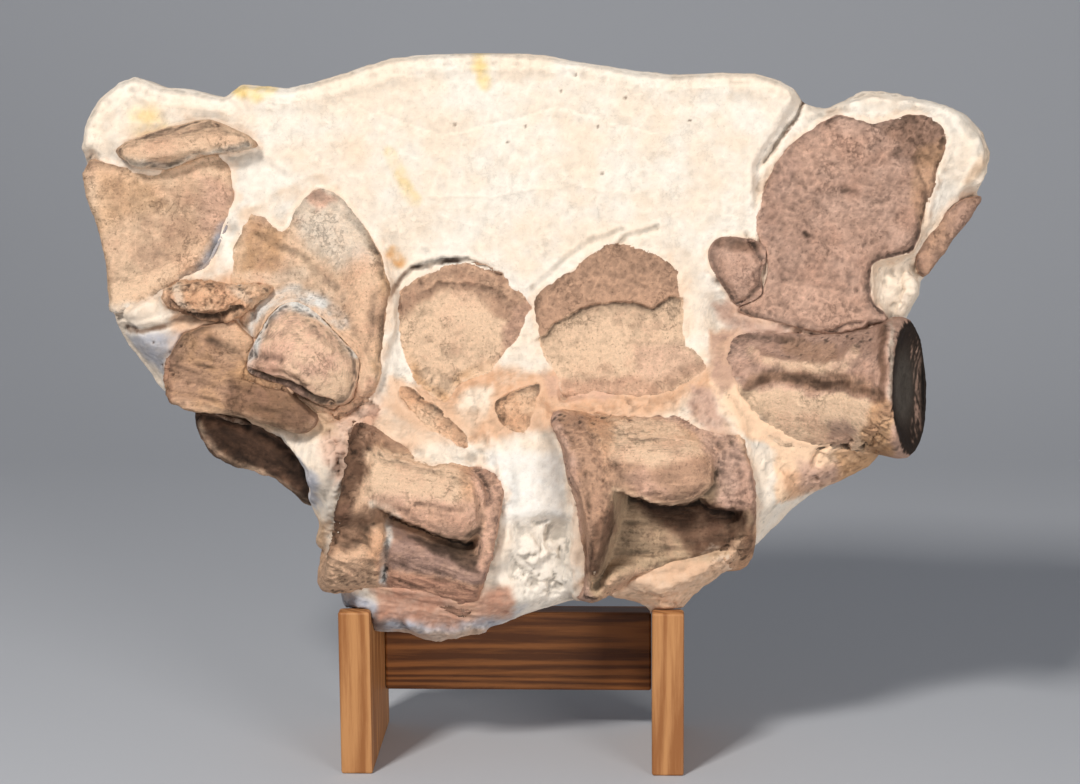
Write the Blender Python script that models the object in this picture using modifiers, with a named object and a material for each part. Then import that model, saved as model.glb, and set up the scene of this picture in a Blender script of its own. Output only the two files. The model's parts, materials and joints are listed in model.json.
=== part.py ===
"""Four joined pliosaur vertebrae in their limestone block, leaning on an H-shaped wooden stand.

The block is modelled lying on its back, as on a preparator's bench: x along the row of
vertebrae, y up the block and z out of its face. Plate-like bones are reliefs with a true
outline, the centra are turned spools, and the limestone is one relief cut to hold them.
It is then stood up on its stand. Outlines and heights are in millimetres, all else in
metres. The finished model's origin is the middle of its bounding box, on the floor.
"""

import math

import bmesh
import bpy
import numpy as np
from mathutils import Matrix, Vector

MM = 0.001
GAP = 0.3 * MM
LEAN = math.radians(8)
BLOCK_ROLL = math.radians(-0.42)
BLOCK_REST = Vector((0, -40, 100)) * MM

BOARD_WIDTH = 20 * MM
BOARD_DEPTH = 106 * MM
BOARD_HEIGHT = 105.5 * MM
BOARD_LIP = 9 * MM
BOARD_SLOPE = math.radians(15)
LEFT_BOARD_X = -116 * MM
RIGHT_BOARD_X = 80 * MM
BOARD_FRONT_Y = -53 * MM
RAIL_BOTTOM = 30 * MM
RAIL_HEIGHT = 53 * MM
RAIL_THICKNESS = 18 * MM
RAIL_FRONT_Y = 30 * MM
WOOD_EDGE = 1.5 * MM

CUTTER_TOP = 150
WELD = 0.05 * MM
OUTLINE_STEPS = 2
EDGE_WIDTH = 7
EDGE_DROP = 3.5
SPOOL_STEPS = 24
SPOOL_WAIST = 0.87
SPOOL_RIM = 9

BLOCK_OUTLINE = [
    (-289, 293), (-283, 316), (-271, 329), (-256, 337), (-236, 330), (-221, 329), (-198, 323),
    (-188, 332), (-159, 330), (-123, 339), (-94, 348), (-47, 353), (-13, 352), (27, 346),
    (79, 339), (130, 340), (156, 331), (163, 322), (180, 321), (200, 331), (228, 328),
    (265, 316), (280, 292), (273, 269), (253, 235), (240, 218), (238, 203), (230, 188),
    (229, 160), (227, 124), (206, 95), (169, 76), (145, 54), (124, 34), (104, 20), (91, 4), (88, -12),
    (74, -12), (69, 4), (60, 9), (40, 13), (16, 8), (-2, 2), (-29, -8), (-65, -19),
    (-82, -13), (-104, -12), (-122, -8), (-127, 16), (-138, 42), (-146, 71), (-186, 97), (-209, 106),
    (-219, 126), (-240, 139), (-262, 170), (-271, 195), (-276, 237), (-285, 265),
]
RIB_OUTLINE = [
    (-266, 290), (-247, 299), (-229, 305), (-211, 309), (-197, 306), (-175, 293),
    (-209, 287), (-231, 279), (-252, 280),
]
V1_SPINE_OUTLINE = [
    (-283, 285), (-244, 277), (-202, 289), (-192, 271), (-193, 252), (-203, 229), (-210, 215),
    (-224, 208), (-240, 196), (-268, 190), (-273, 218), (-279, 244), (-286, 262),
]
V1_ARCH_OUTLINE = [
    (-183, 253), (-162, 240), (-155, 254), (-138, 268), (-120, 257), (-98, 224), (-96, 195),
    (-101, 152), (-107, 134), (-126, 121), (-150, 136), (-172, 168), (-198, 196),
]
V1_FRAGMENT_OUTLINE = [
    (-232, 205), (-212, 209), (-195, 205), (-166, 206), (-180, 193), (-195, 184), (-217, 187),
    (-232, 193),
]
V1_PROCESS_OUTLINE = [
    (-162, 193), (-150, 196), (-137, 188), (-121, 172), (-111, 160), (-114, 142), (-120, 133),
    (-139, 134), (-158, 145), (-181, 152), (-177, 171),
]
V1_CENTRUM_OUTLINE = [
    (-224, 176), (-196, 184), (-160, 194), (-140, 175), (-134, 140), (-138, 120), (-148, 115),
    (-163, 119), (-186, 126), (-212, 127), (-228, 134), (-234, 153),
]
V1_UNDERSIDE_OUTLINE = [
    (-217, 127), (-190, 123), (-167, 115), (-146, 92), (-146, 66), (-160, 77), (-174, 87),
    (-190, 93), (-207, 97), (-214, 107),
]
V2_SPINE_OUTLINE = [
    (-91, 197), (-86, 207), (-67, 218), (-45, 222), (-25, 217), (-17, 208), (-4, 196),
    (-8, 182), (-19, 164), (-31, 152), (-50, 145), (-59, 132), (-78, 146), (-85, 162),
    (-90, 180),
]
V2_STRIP_OUTLINE = [
    (-94, 148), (-78, 143), (-60, 129), (-45, 115), (-44, 104), (-56, 110), (-68, 117),
    (-81, 130),
]
ZYGAPOPHYSIS_OUTLINE = [
    (-29, 135), (-16, 142), (1, 147), (-2, 134), (-5, 115), (-23, 120),
]
V3_SPINE_OUTLINE = [
    (-5, 198), (3, 207), (19, 219), (34, 229), (47, 235), (70, 228), (87, 218), (89, 195),
    (94, 171), (105, 157), (92, 146), (78, 139), (54, 136), (38, 140), (13, 135), (11, 150),
    (1, 164), (-3, 184),
]
V4_SPINE_OUTLINE = [
    (133, 242), (135, 257), (145, 284), (159, 299), (184, 315), (206, 309), (229, 315),
    (247, 309), (251, 297), (243, 274), (237, 250), (230, 229), (206, 223), (206, 198),
    (216, 188), (182, 178), (146, 186), (122, 192), (138, 206), (141, 226),
]
V4_ZYGAPOPHYSIS_OUTLINE = [
    (104, 230), (111, 238), (124, 238), (140, 232), (137, 216), (138, 203), (131, 198),
    (122, 195), (115, 205), (106, 218),
]
EDGE_BONE_OUTLINE = [
    (270, 264), (258, 260), (248, 247), (236, 234), (234, 222), (240, 214), (256, 236),
    (274, 262),
]
OVERHANG_LINE = [(165, 340), (159, 321), (152, 311), (140, 294), (132, 281), (132, 236), (104, 214)]
V2_LOBE_OUTLINE = [
    (-104, 78), (-90, 68), (-74, 59), (-57, 53), (-42, 55), (-33, 70), (-36, 88), (-70, 98),
    (-101, 98),
]
V3_LOBE_OUTLINE = [(46, 86), (62, 79), (82, 74), (100, 79), (108, 90), (100, 112), (55, 112)]

MATRIX_TRIANGLES = 2400
PLATE_CELL = 4


def smooth(value):
    """0 below 0, 1 above 1 and an S curve between them."""
    t = np.clip(value, 0, 1)
    return t * t * (3 - 2 * t)


def segment_distance(x, y, start, end):
    """The distance from each point to the segment, and how far along it, from 0 to 1."""
    run = np.subtract(end, start).astype(float)
    along = ((x - start[0]) * run[0] + (y - start[1]) * run[1]) / run.dot(run)
    along = np.clip(along, 0, 1)
    away = np.hypot(x - start[0] - along * run[0], y - start[1] - along * run[1])
    return away, along


def depth_inside(x, y, outline):
    """How far each point is inside the closed outline, less than 0 outside it."""
    sides = list(zip(outline, outline[1:] + outline[:1]))
    away = np.min([segment_distance(x, y, start, end)[0] for start, end in sides], axis=0)
    crossings = np.zeros(np.shape(x), int)
    for (x0, y0), (x1, y1) in sides:
        if y0 != y1:
            crosses = (y0 > y) != (y1 > y)
            crossings += crosses & (x < x0 + (y - y0) * (x1 - x0) / (y1 - y0))
    return np.where(crossings % 2 == 1, away, -away)


def dome(x, y, centre, radii, height, turn=0):
    """A round swelling, or a hollow where the height is negative."""
    cos, sin = math.cos(math.radians(turn)), math.sin(math.radians(turn))
    along = ((x - centre[0]) * cos + (y - centre[1]) * sin) / radii[0]
    across = ((y - centre[1]) * cos - (x - centre[0]) * sin) / radii[1]
    return height * smooth(1 - np.hypot(along, across))


def ridge(x, y, start, end, width, height):
    """A long swelling from start to end."""
    away, _ = segment_distance(x, y, start, end)
    return height * smooth(1 - away / width)


def slope(x, y, start, end, low, high):
    """A face that goes from low at start to high at end, level beyond them."""
    run = np.subtract(end, start).astype(float)
    along = ((x - start[0]) * run[0] + (y - start[1]) * run[1]) / run.dot(run)
    return low + (high - low) * smooth(along)


def right_of(x, y, points):
    """1 to the right of a line that runs down the block, 0 to its left."""
    heights = [p[1] for p in reversed(points)]
    places = [p[0] for p in reversed(points)]
    return smooth((x - np.interp(y, heights, places)) / 2.5 + 0.5)


def matrix_face(x, y):
    """The limestone's front: a raised slab, a lower right end and valleys between bones."""
    face = 3 + 1.5 * np.sin(x / 47 + 1) * np.cos(y / 39)
    face = face - 13 * right_of(x, y, OVERHANG_LINE) * smooth((y - 150) / 40)
    face = face + 7 * smooth((170 - y) / 60) * smooth((170 - x) / 40)
    face = face + dome(x, y, (-12, 110), (42, 60), 10) + dome(x, y, (-10, 45), (30, 60), 8)
    face = face + dome(x, y, (113, 130), (30, 70), 8) + dome(x, y, (-130, 100), (40, 40), 14)
    face = face + dome(x, y, (219, 206), (26, 22), 13) + ridge(x, y, (262, 290), (250, 315), 24, 6)
    face = face + dome(x, y, (-64, 112), (24, 22), 14) - dome(x, y, (-60, 236), (50, 26), 3)
    face = face + ridge(x, y, (-240, 180), (-262, 200), 22, 8)
    return face


def matrix_back(x, y):
    """The block's rough back, thick behind the centra and thinner up the slab."""
    back = -50 - 10 * smooth((230 - y) / 120) - dome(x, y, (130, 144), (62, 62), 17)
    return back + 3 * np.sin(x / 31 + y / 53) + 2.5 * np.cos(y / 23 - x / 61)


def rib_face(x, y):
    return 13 + ridge(x, y, (-256, 287), (-186, 296), 14, 10)


def v1_spine_face(x, y):
    return 7 - dome(x, y, (-230, 235), (60, 60), 7) + ridge(x, y, (-266, 193), (-214, 222), 14, 5)


def v1_arch_face(x, y):
    face = slope(x, y, (-190, 230), (-120, 170), 4, 12)
    return face + ridge(x, y, (-104, 150), (-100, 215), 24, 5) - dome(x, y, (-140, 215), (40, 28), 4)


def v1_fragment_face(x, y):
    return 17 + ridge(x, y, (-225, 199), (-180, 199), 12, 6)


def v1_process_face(x, y):
    return 24 + dome(x, y, (-142, 160), (42, 34), 15, -25)


def v1_centrum_face(x, y):
    face = slope(x, y, (-212, 185), (-180, 122), 10, 30)
    return face + ridge(x, y, (-233, 150), (-218, 128), 12, 5) - dome(x, y, (-180, 170), (40, 18), 4, 20)


def v1_underside_face(x, y):
    return slope(x, y, (-178, 122), (-190, 88), 10, -14) + ridge(x, y, (-205, 99), (-152, 76), 6, 3)


def v2_spine_face(x, y):
    return -4 + dome(x, y, (-50, 180), (52, 50), 10) - dome(x, y, (-55, 172), (26, 22), 3)


def v2_strip_face(x, y):
    return 9 + ridge(x, y, (-86, 138), (-50, 110), 10, 6)


def zygapophysis_face(x, y):
    return 14 + dome(x, y, (-14, 132), (20, 18), 8)


def v3_spine_face(x, y):
    """A rough upper layer that ends in a step above the smooth lower face."""
    step_heights = [(-10, 178), (9, 184), (25, 193), (58, 197), (70, 193), (92, 205)]
    step = np.interp(x, [p[0] for p in step_heights], [p[1] for p in step_heights])
    face = 2 + 4 * smooth((y - step) / 2.5 + 0.5) - 5 * smooth((y - 205) / 34)
    return face + dome(x, y, (48, 165), (50, 30), 5) + ridge(x, y, (60, 150), (100, 158), 16, 4)


def v4_spine_face(x, y):
    face = slope(x, y, (150, 300), (185, 190), -6, 9)
    return face + ridge(x, y, (190, 240), (170, 195), 26, 4) + ridge(x, y, (236, 306), (246, 290), 12, 3)


def v4_zygapophysis_face(x, y):
    return 8 + dome(x, y, (122, 218), (26, 26), 7)


def edge_bone_face(x, y):
    return -8 + 0 * x


# Name, outline, height of the back, face and triangles before it is cut.
PLATES = [
    ("rib_fragment", RIB_OUTLINE, -2, rib_face, 160),
    ("v1_fragment", V1_FRAGMENT_OUTLINE, 0, v1_fragment_face, 120),
    ("v1_transverse_process", V1_PROCESS_OUTLINE, 2, v1_process_face, 200),
    ("v1_neural_spine", V1_SPINE_OUTLINE, -16, v1_spine_face, 280),
    ("v1_neural_arch", V1_ARCH_OUTLINE, -14, v1_arch_face, 300),
    ("v1_centrum", V1_CENTRUM_OUTLINE, -16, v1_centrum_face, 300),
    ("v1_centrum_underside", V1_UNDERSIDE_OUTLINE, -34, v1_underside_face, 180),
    ("v2_neural_spine", V2_SPINE_OUTLINE, -18, v2_spine_face, 320),
    ("v2_arch_strip", V2_STRIP_OUTLINE, -10, v2_strip_face, 160),
    ("v2_v3_zygapophysis", ZYGAPOPHYSIS_OUTLINE, -6, zygapophysis_face, 140),
    ("v3_neural_spine", V3_SPINE_OUTLINE, -18, v3_spine_face, 420),
    ("v4_zygapophysis", V4_ZYGAPOPHYSIS_OUTLINE, -10, v4_zygapophysis_face, 140),
    ("v4_neural_spine", V4_SPINE_OUTLINE, -24, v4_spine_face, 460),
    ("edge_bone", EDGE_BONE_OUTLINE, -34, edge_bone_face, 100),
]

# Name, centre, half length, radius up the block, radius to the front and how much of it to
# the back, slope and yaw in degrees, process.
CENTRA = [
    ("v2_centrum", (-82, 62, -12), 50, 58, 50, 0.5, -11, -11, V2_LOBE_OUTLINE),
    ("v3_centrum", (67, 79, -12), 55, 62, 50, 0.5, 11, -17, V3_LOBE_OUTLINE),
    ("v4_centrum", (178, 144, -12), 56, 44, 44, 0.9, 2, 22, None),
]

COLOURS = {
    "limestone": ((0.86, 0.79, 0.68, 1), 0.9),
    "tan bone": ((0.58, 0.40, 0.24, 1), 0.75),
    "brown bone": ((0.36, 0.22, 0.15, 1), 0.75),
    "pine": ((0.47, 0.22, 0.09, 1), 0.55),
}
BROWN_BONES = {"v4_neural_spine", "v4_zygapophysis", "v4_centrum", "edge_bone", "v1_centrum_underside"}


def clear_scene():
    for item in list(bpy.data.objects):
        bpy.data.objects.remove(item)


def new_collection(name):
    group = bpy.data.collections.new(name)
    bpy.context.scene.collection.children.link(group)
    return group


def colour_material(node, kind):
    colour, roughness = COLOURS[kind]
    material = bpy.data.materials.new(node)
    material.use_nodes = True
    shader = material.node_tree.nodes["Principled BSDF"]
    shader.inputs["Base Color"].default_value = colour
    shader.inputs["Roughness"].default_value = roughness
    shader.inputs["Metallic"].default_value = 0
    return material


def add_object(name, mesh):
    body = bpy.data.objects.new(name, mesh)
    bpy.context.scene.collection.objects.link(body)
    return body


def face_outwards(bm):
    bmesh.ops.recalc_face_normals(bm, faces=bm.faces[:])
    if bm.calc_volume(signed=True) < 0:
        bmesh.ops.reverse_faces(bm, faces=bm.faces[:])


def mesh_from(bm, name):
    face_outwards(bm)
    mesh = bpy.data.meshes.new(name)
    bm.to_mesh(mesh)
    bm.free()
    return mesh


def applied(body):
    """The object with its modifiers made real."""
    bpy.context.view_layer.update()
    evaluated = body.evaluated_get(bpy.context.evaluated_depsgraph_get())
    mesh = bpy.data.meshes.new_from_object(evaluated)
    body.modifiers.clear()
    body.data = mesh
    return body


def combined(body, other, operation, solver="EXACT"):
    """A Boolean of two bodies that keeps the first and removes the second."""
    modifier = body.modifiers.new(operation.title(), "BOOLEAN")
    modifier.operation = operation
    modifier.solver = solver
    modifier.object = other
    applied(body)
    bpy.data.objects.remove(other)
    return body


def thinned(body, triangles):
    """The body in about this many triangles."""
    bm = bmesh.new()
    bm.from_mesh(body.data)
    bmesh.ops.triangulate(bm, faces=bm.faces[:])
    count = len(bm.faces)
    bm.to_mesh(body.data)
    bm.free()
    if count > triangles:
        modifier = body.modifiers.new("Decimate", "DECIMATE")
        modifier.ratio = triangles / count
        applied(body)
    return body


def surfaces(bm):
    """The mesh's separate closed surfaces, as lists of faces."""
    unseen = set(bm.faces)
    while unseen:
        found = []
        waiting = [unseen.pop()]
        while waiting:
            face = waiting.pop()
            found.append(face)
            for edge in face.edges:
                for beside in edge.link_faces:
                    if beside in unseen:
                        unseen.discard(beside)
                        waiting.append(beside)
        yield found


def largest_surface(body):
    """Drops the loose scraps and hair-thin faces that a cut leaves."""
    bm = bmesh.new()
    bm.from_mesh(body.data)
    pieces = sorted(surfaces(bm), key=len)
    for scrap in pieces[:-1]:
        bmesh.ops.delete(bm, geom=scrap, context="FACES")
    bmesh.ops.triangulate(bm, faces=bm.faces[:])
    bmesh.ops.remove_doubles(bm, verts=bm.verts[:], dist=WELD)
    face_outwards(bm)
    bm.to_mesh(body.data)
    bm.free()
    return body


def rounded(outline):
    """A closed Catmull-Rom curve through the outline's points."""
    points = np.array(outline, float)
    before, after = np.roll(points, 1, 0), np.roll(points, -1, 0)
    beyond = np.roll(points, -2, 0)
    curve = []
    for i in range(len(points)):
        for t in np.arange(OUTLINE_STEPS) / OUTLINE_STEPS:
            place = (
                2 * points[i]
                + (after[i] - before[i]) * t
                + (2 * before[i] - 5 * points[i] + 4 * after[i] - beyond[i]) * t**2
                + (3 * points[i] - before[i] - 3 * after[i] + beyond[i]) * t**3
            )
            curve.append(tuple(place / 2))
    return curve


def grown(outline, by):
    """The outline moved outwards by a distance."""
    points = np.array(outline, float)
    area = np.sum(points[:, 0] * np.roll(points[:, 1], -1) - np.roll(points[:, 0], -1) * points[:, 1])
    edges = np.roll(points, -1, 0) - points
    normals = np.stack([edges[:, 1], -edges[:, 0]], 1) * np.sign(area)
    normals /= np.linalg.norm(normals, axis=1)[:, None]
    corner = normals + np.roll(normals, 1, 0)
    corner /= np.maximum(np.sum(corner * normals, axis=1), 0.4)[:, None]
    return [tuple(p) for p in points + corner * by]


def prism(name, outline, bottom, top):
    """An upright body with the outline, filled by a flat curve and extruded."""
    curve = bpy.data.curves.new(name, "CURVE")
    curve.dimensions = "2D"
    curve.fill_mode = "BOTH"
    curve.extrude = (top - bottom) / 2 * MM
    spline = curve.splines.new("POLY")
    spline.points.add(len(outline) - 1)
    for point, (x, y) in zip(spline.points, outline):
        point.co = (x * MM, y * MM, 0, 1)
    spline.use_cyclic_u = True
    guide = add_object(name + "_curve", curve)
    bpy.context.view_layer.update()
    evaluated = guide.evaluated_get(bpy.context.evaluated_depsgraph_get())
    mesh = bpy.data.meshes.new_from_object(evaluated)
    bpy.data.objects.remove(guide)
    bm = bmesh.new()
    bm.from_mesh(mesh)
    bmesh.ops.remove_doubles(bm, verts=bm.verts[:], dist=0.01 * MM)
    bmesh.ops.translate(bm, verts=bm.verts[:], vec=(0, 0, (top + bottom) / 2 * MM))
    return add_object(name, mesh_from(bm, name))


def relief_blank(name, outline, cell, back, face):
    """A sheet of square cells over the outline, raised to its face and closed at its back."""
    low, high = np.min(outline, axis=0) - 2 * cell, np.max(outline, axis=0) + 2 * cell
    size = high - low
    cells = np.ceil(size / cell).astype(int)
    bm = bmesh.new()
    bmesh.ops.create_grid(bm, x_segments=int(cells[0]), y_segments=int(cells[1]), size=0.5)
    spread = Matrix.Translation((*((low + high) / 2), 0)) @ Matrix.Diagonal((*size, 1, 1))
    bmesh.ops.transform(bm, matrix=spread, verts=bm.verts[:])
    bottom = bm.verts[:]
    lifted = bmesh.ops.extrude_face_region(bm, geom=bm.faces[:], use_keep_orig=True)
    top = [item for item in lifted["geom"] if isinstance(item, bmesh.types.BMVert)]
    for verts, height in ((bottom, back), (top, face)):
        places = np.array([v.co[:2] for v in verts])
        heights = height(places[:, 0], places[:, 1])
        for vert, z in zip(verts, heights):
            vert.co = Vector((vert.co.x, vert.co.y, z)) * MM
    return add_object(name, mesh_from(bm, name))


def plate(name, outline, back, face, triangles):
    """A plate-like bone: its true outline, a rounded edge and a modelled face."""
    edge = rounded(outline)

    def rounded_face(x, y):
        inside = depth_inside(x, y, edge)
        return face(x, y) - EDGE_DROP * (1 - smooth(inside / EDGE_WIDTH)) ** 2

    body = relief_blank(name, edge, PLATE_CELL, lambda x, y: 0 * x + back - 6, rounded_face)
    thinned(body, triangles)
    return combined(body, prism(name + "_outline", edge, back, CUTTER_TOP), "INTERSECT")


def plate_cutter(name, outline, back):
    return prism(name + "_pocket", grown(rounded(outline), GAP / MM), back - GAP / MM, CUTTER_TOP)


def spool_profile(half_length, radius, wall):
    """Half of a centrum's section, from the axis out over one end, along the flank and back."""
    points = [(0, half_length - 7), (0.55 * radius, half_length - 5), (radius - 5, half_length)]
    points.append((radius - 1.5, half_length - 2))
    points.append((radius, half_length - 5))
    for t in np.linspace(1, -1, 5):
        flank = radius * (SPOOL_WAIST + (1 - SPOOL_WAIST) * abs(t) ** 2.2)
        points.append((flank, t * (half_length - SPOOL_RIM)))
    points.append((radius, 5 - half_length))
    points.append((radius - 1.5, 2 - half_length))
    points += [(radius - 5, -half_length), (0.55 * radius, 5 - half_length), (0, 7 - half_length)]
    grown_points = []
    for r, z in points:
        grown_points.append((r + wall if r > 0 else 0, z + wall * (1 if z > 0 else -1 if z < 0 else 0)))
    return grown_points


def spool(name, centre, half_length, height, depth, back_share, tilt, yaw, wall=0):
    """A centrum as a turned spool, flattened front to back and laid along the row."""
    profile = spool_profile(half_length, height, wall)
    bm = bmesh.new()
    verts = [bm.verts.new((r * MM, 0, z * MM)) for r, z in profile]
    for a, b in zip(verts, verts[1:]):
        bm.edges.new((a, b))
    mesh = bpy.data.meshes.new(name)
    bm.to_mesh(mesh)
    bm.free()
    body = add_object(name, mesh)
    screw = body.modifiers.new("Screw", "SCREW")
    screw.axis = "Z"
    screw.angle = math.tau
    screw.steps = screw.render_steps = SPOOL_STEPS
    screw.use_merge_vertices = True
    screw.merge_threshold = 0.00001
    applied(body)
    body.data.transform(Matrix.Rotation(math.radians(90), 4, "Y"))
    for vert in body.data.vertices:
        vert.co.z *= depth / height * (1 if vert.co.z > 0 else back_share)
    turn = Matrix.Rotation(math.radians(tilt), 4, "Z") @ Matrix.Rotation(math.radians(-yaw), 4, "Y")
    place = Matrix.Translation(Vector(centre) * MM)
    body.data.transform(place @ turn)
    bm = bmesh.new()
    bm.from_mesh(body.data)
    face_outwards(bm)
    bm.to_mesh(body.data)
    bm.free()
    return body


def process_lobe(name, outline):
    """The bony process that overhangs a centrum's flank."""
    edge = rounded(outline)

    def face(x, y):
        inside = depth_inside(x, y, edge)
        return 38 - 7 * (1 - smooth(inside / 12)) ** 2

    body = relief_blank(name, edge, PLATE_CELL, lambda x, y: 0 * x - 10, face)
    thinned(body, 160)
    return combined(body, prism(name + "_outline", edge, 0, 60), "INTERSECT")


def centrum(name, lobe, *shape):
    body = spool(name, *shape)
    if lobe:
        combined(body, process_lobe(name + "_lobe", lobe), "UNION")
    return largest_surface(body)


def limestone():
    edge = rounded(BLOCK_OUTLINE)

    def face(x, y):
        inside = depth_inside(x, y, edge)
        return matrix_face(x, y) - 22 * (1 - smooth(inside / 24 + 0.12)) ** 2

    def back(x, y):
        inside = depth_inside(x, y, edge)
        return matrix_back(x, y) + 26 * (1 - smooth(inside / 34 + 0.1)) ** 2

    body = relief_blank("matrix", edge, 6, back, face)
    thinned(body, MATRIX_TRIANGLES)
    return combined(body, prism("matrix_outline", edge, -90, 90), "INTERSECT", "MANIFOLD")


def board(name, middle, wall=0):
    """An upright of the stand: a short level lip, then a top that slopes down to the rear."""
    drop = (BOARD_DEPTH - BOARD_LIP) * math.tan(BOARD_SLOPE)
    profile = [
        (0, 0), (BOARD_DEPTH, 0), (BOARD_DEPTH, BOARD_HEIGHT - drop), (BOARD_LIP, BOARD_HEIGHT),
        (0, BOARD_HEIGHT),
    ]
    edge = grown([(y / MM, z / MM) for y, z in profile], wall / MM)
    half = (BOARD_WIDTH / 2 + wall) / MM
    body = prism(name, edge, -half, half)
    body.data.transform(Matrix(((0, 0, 1, middle), (1, 0, 0, BOARD_FRONT_Y), (0, 1, 0, 0), (0, 0, 0, 1))))
    return body


def soften(body):
    bevel = body.modifiers.new("Bevel", "BEVEL")
    bevel.width = WOOD_EDGE
    bevel.segments = 2
    bevel.limit_method = "ANGLE"
    return applied(body)


def rail():
    left = LEFT_BOARD_X + BOARD_WIDTH / 2 + GAP
    right = RIGHT_BOARD_X - BOARD_WIDTH / 2 - GAP
    bpy.ops.mesh.primitive_cube_add(size=1)
    body = bpy.context.active_object
    body.name = body.data.name = "stand_rail"
    size = Matrix.Diagonal((right - left, RAIL_THICKNESS, RAIL_HEIGHT, 1))
    middle = ((left + right) / 2, RAIL_FRONT_Y + RAIL_THICKNESS / 2, RAIL_BOTTOM + RAIL_HEIGHT / 2)
    body.data.transform(Matrix.Translation(middle) @ size)
    return soften(body)


def cut_by_neighbours(body, cutters, solver="EXACT"):
    """Takes each neighbour's room, and the gap round it, out of the body."""
    for make in cutters:
        combined(body, make(), "DIFFERENCE", solver)
    return largest_surface(body)


def block_pose():
    """From the bench to the stand: rolled a little, stood up, leaning back."""
    stand_up = Matrix.Rotation(math.radians(90) - LEAN, 4, "X")
    middle = Vector((0, 140, 0)) * MM
    roll = Matrix.Translation(middle) @ Matrix.Rotation(BLOCK_ROLL, 4, "Z") @ Matrix.Translation(-middle)
    return Matrix.Translation(BLOCK_REST) @ stand_up @ roll


def stand_cutter(name, middle):
    """A board's room as the lying block meets it."""
    body = board(name + "_room", middle, GAP)
    body.data.transform(block_pose().inverted())
    return body


def centre_on_origin(bodies):
    """Moves the model sideways, so that its bounding box is centred over the origin."""
    places = np.array([v.co for body in bodies for v in body.data.vertices])
    middle = (places.min(axis=0) + places.max(axis=0)) / 2
    for body in bodies:
        body.data.transform(Matrix.Translation((-middle[0], -middle[1], 0)))


def build_bones():
    """All bones, each cut by those that lie on it, and a maker of each one's cutter."""
    bones, cutters = [], []
    stand_rooms = [
        lambda: stand_cutter("stand_left_board", LEFT_BOARD_X),
        lambda: stand_cutter("stand_right_board", RIGHT_BOARD_X),
    ]
    for name, outline, back, face, triangles in PLATES:
        body = plate(name, outline, back, face, triangles)
        bones.append(cut_by_neighbours(body, cutters))
        cutters.append(lambda name=name, outline=outline, back=back: plate_cutter(name, outline, back))
    for name, *shape, lobe in CENTRA:
        bones.append(cut_by_neighbours(centrum(name, lobe, *shape), cutters + stand_rooms))
        cutters.append(lambda name=name, shape=shape: spool(name + "_room", *shape, wall=GAP / MM))
        if lobe:
            cutters.append(lambda name=name, lobe=lobe: plate_cutter(name, lobe, 0))
    return bones, cutters + stand_rooms


def build():
    clear_scene()
    parts = new_collection("pliosaur_vertebrae")
    bones, cutters = build_bones()
    matrix = cut_by_neighbours(limestone(), cutters, "MANIFOLD")
    stand = [
        soften(board("stand_left_board", LEFT_BOARD_X)),
        soften(board("stand_right_board", RIGHT_BOARD_X)),
        rail(),
    ]
    for body in bones + [matrix]:
        body.data.transform(block_pose())
    centre_on_origin(bones + [matrix] + stand)
    for body in bones + [matrix] + stand:
        kind = "tan bone"
        if body is matrix:
            kind = "limestone"
        elif body in stand:
            kind = "pine"
        elif body.name in BROWN_BONES:
            kind = "brown bone"
        body.data.materials.clear()
        body.data.materials.append(colour_material(body.name, kind))
        for group in list(body.users_collection):
            group.objects.unlink(body)
        parts.objects.link(body)


build()
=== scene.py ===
import json
import math

import bpy
import numpy as np
from mathutils import Matrix, Vector
from mathutils.bvhtree import BVHTree
from mathutils.kdtree import KDTree


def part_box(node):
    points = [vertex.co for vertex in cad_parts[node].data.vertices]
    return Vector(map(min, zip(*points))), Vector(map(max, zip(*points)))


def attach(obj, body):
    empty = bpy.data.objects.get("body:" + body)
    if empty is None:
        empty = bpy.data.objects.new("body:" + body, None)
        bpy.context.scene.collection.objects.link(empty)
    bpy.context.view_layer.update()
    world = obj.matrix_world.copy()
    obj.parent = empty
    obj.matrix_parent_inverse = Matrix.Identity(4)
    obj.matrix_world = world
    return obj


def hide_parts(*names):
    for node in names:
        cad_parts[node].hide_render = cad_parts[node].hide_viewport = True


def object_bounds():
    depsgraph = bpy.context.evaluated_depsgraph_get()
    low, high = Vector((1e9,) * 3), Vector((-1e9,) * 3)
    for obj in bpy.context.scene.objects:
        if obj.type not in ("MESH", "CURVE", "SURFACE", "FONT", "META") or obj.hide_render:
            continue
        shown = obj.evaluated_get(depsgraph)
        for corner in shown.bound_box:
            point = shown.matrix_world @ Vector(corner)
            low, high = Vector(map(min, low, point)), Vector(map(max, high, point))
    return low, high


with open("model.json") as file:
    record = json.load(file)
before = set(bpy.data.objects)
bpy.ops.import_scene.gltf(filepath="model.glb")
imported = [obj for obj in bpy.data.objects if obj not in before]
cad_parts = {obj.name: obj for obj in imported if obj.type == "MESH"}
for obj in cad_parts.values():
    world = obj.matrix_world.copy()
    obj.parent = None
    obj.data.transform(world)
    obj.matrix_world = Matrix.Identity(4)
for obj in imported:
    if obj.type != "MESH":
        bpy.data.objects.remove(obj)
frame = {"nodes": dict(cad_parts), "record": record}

CAD_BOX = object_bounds()

# The block's own plane, as in the part: x along the vertebrae, y up the block, z out of its
# face. Every outline, line and height below is in millimetres on that plane.
LEAN = math.radians(8)
BLOCK_ROLL = math.radians(-0.42)
BLOCK_REST = Vector((0, -0.040, 0.100))
ROLL_CENTRE = Vector((0, 0.140, 0))
LEFT_BOARD_CORNER = Vector((-0.126, -0.053, 0))

# Lengths on the block are in millimetres from here on.
# Face sizes of the first and the final meshes, and the reach that evens out the solid's facets.
COARSE_VOXEL = 1.9
MATRIX_VOXEL = 1.15
BONE_VOXEL = 0.95
FACET_REACH = 3.8
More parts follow.
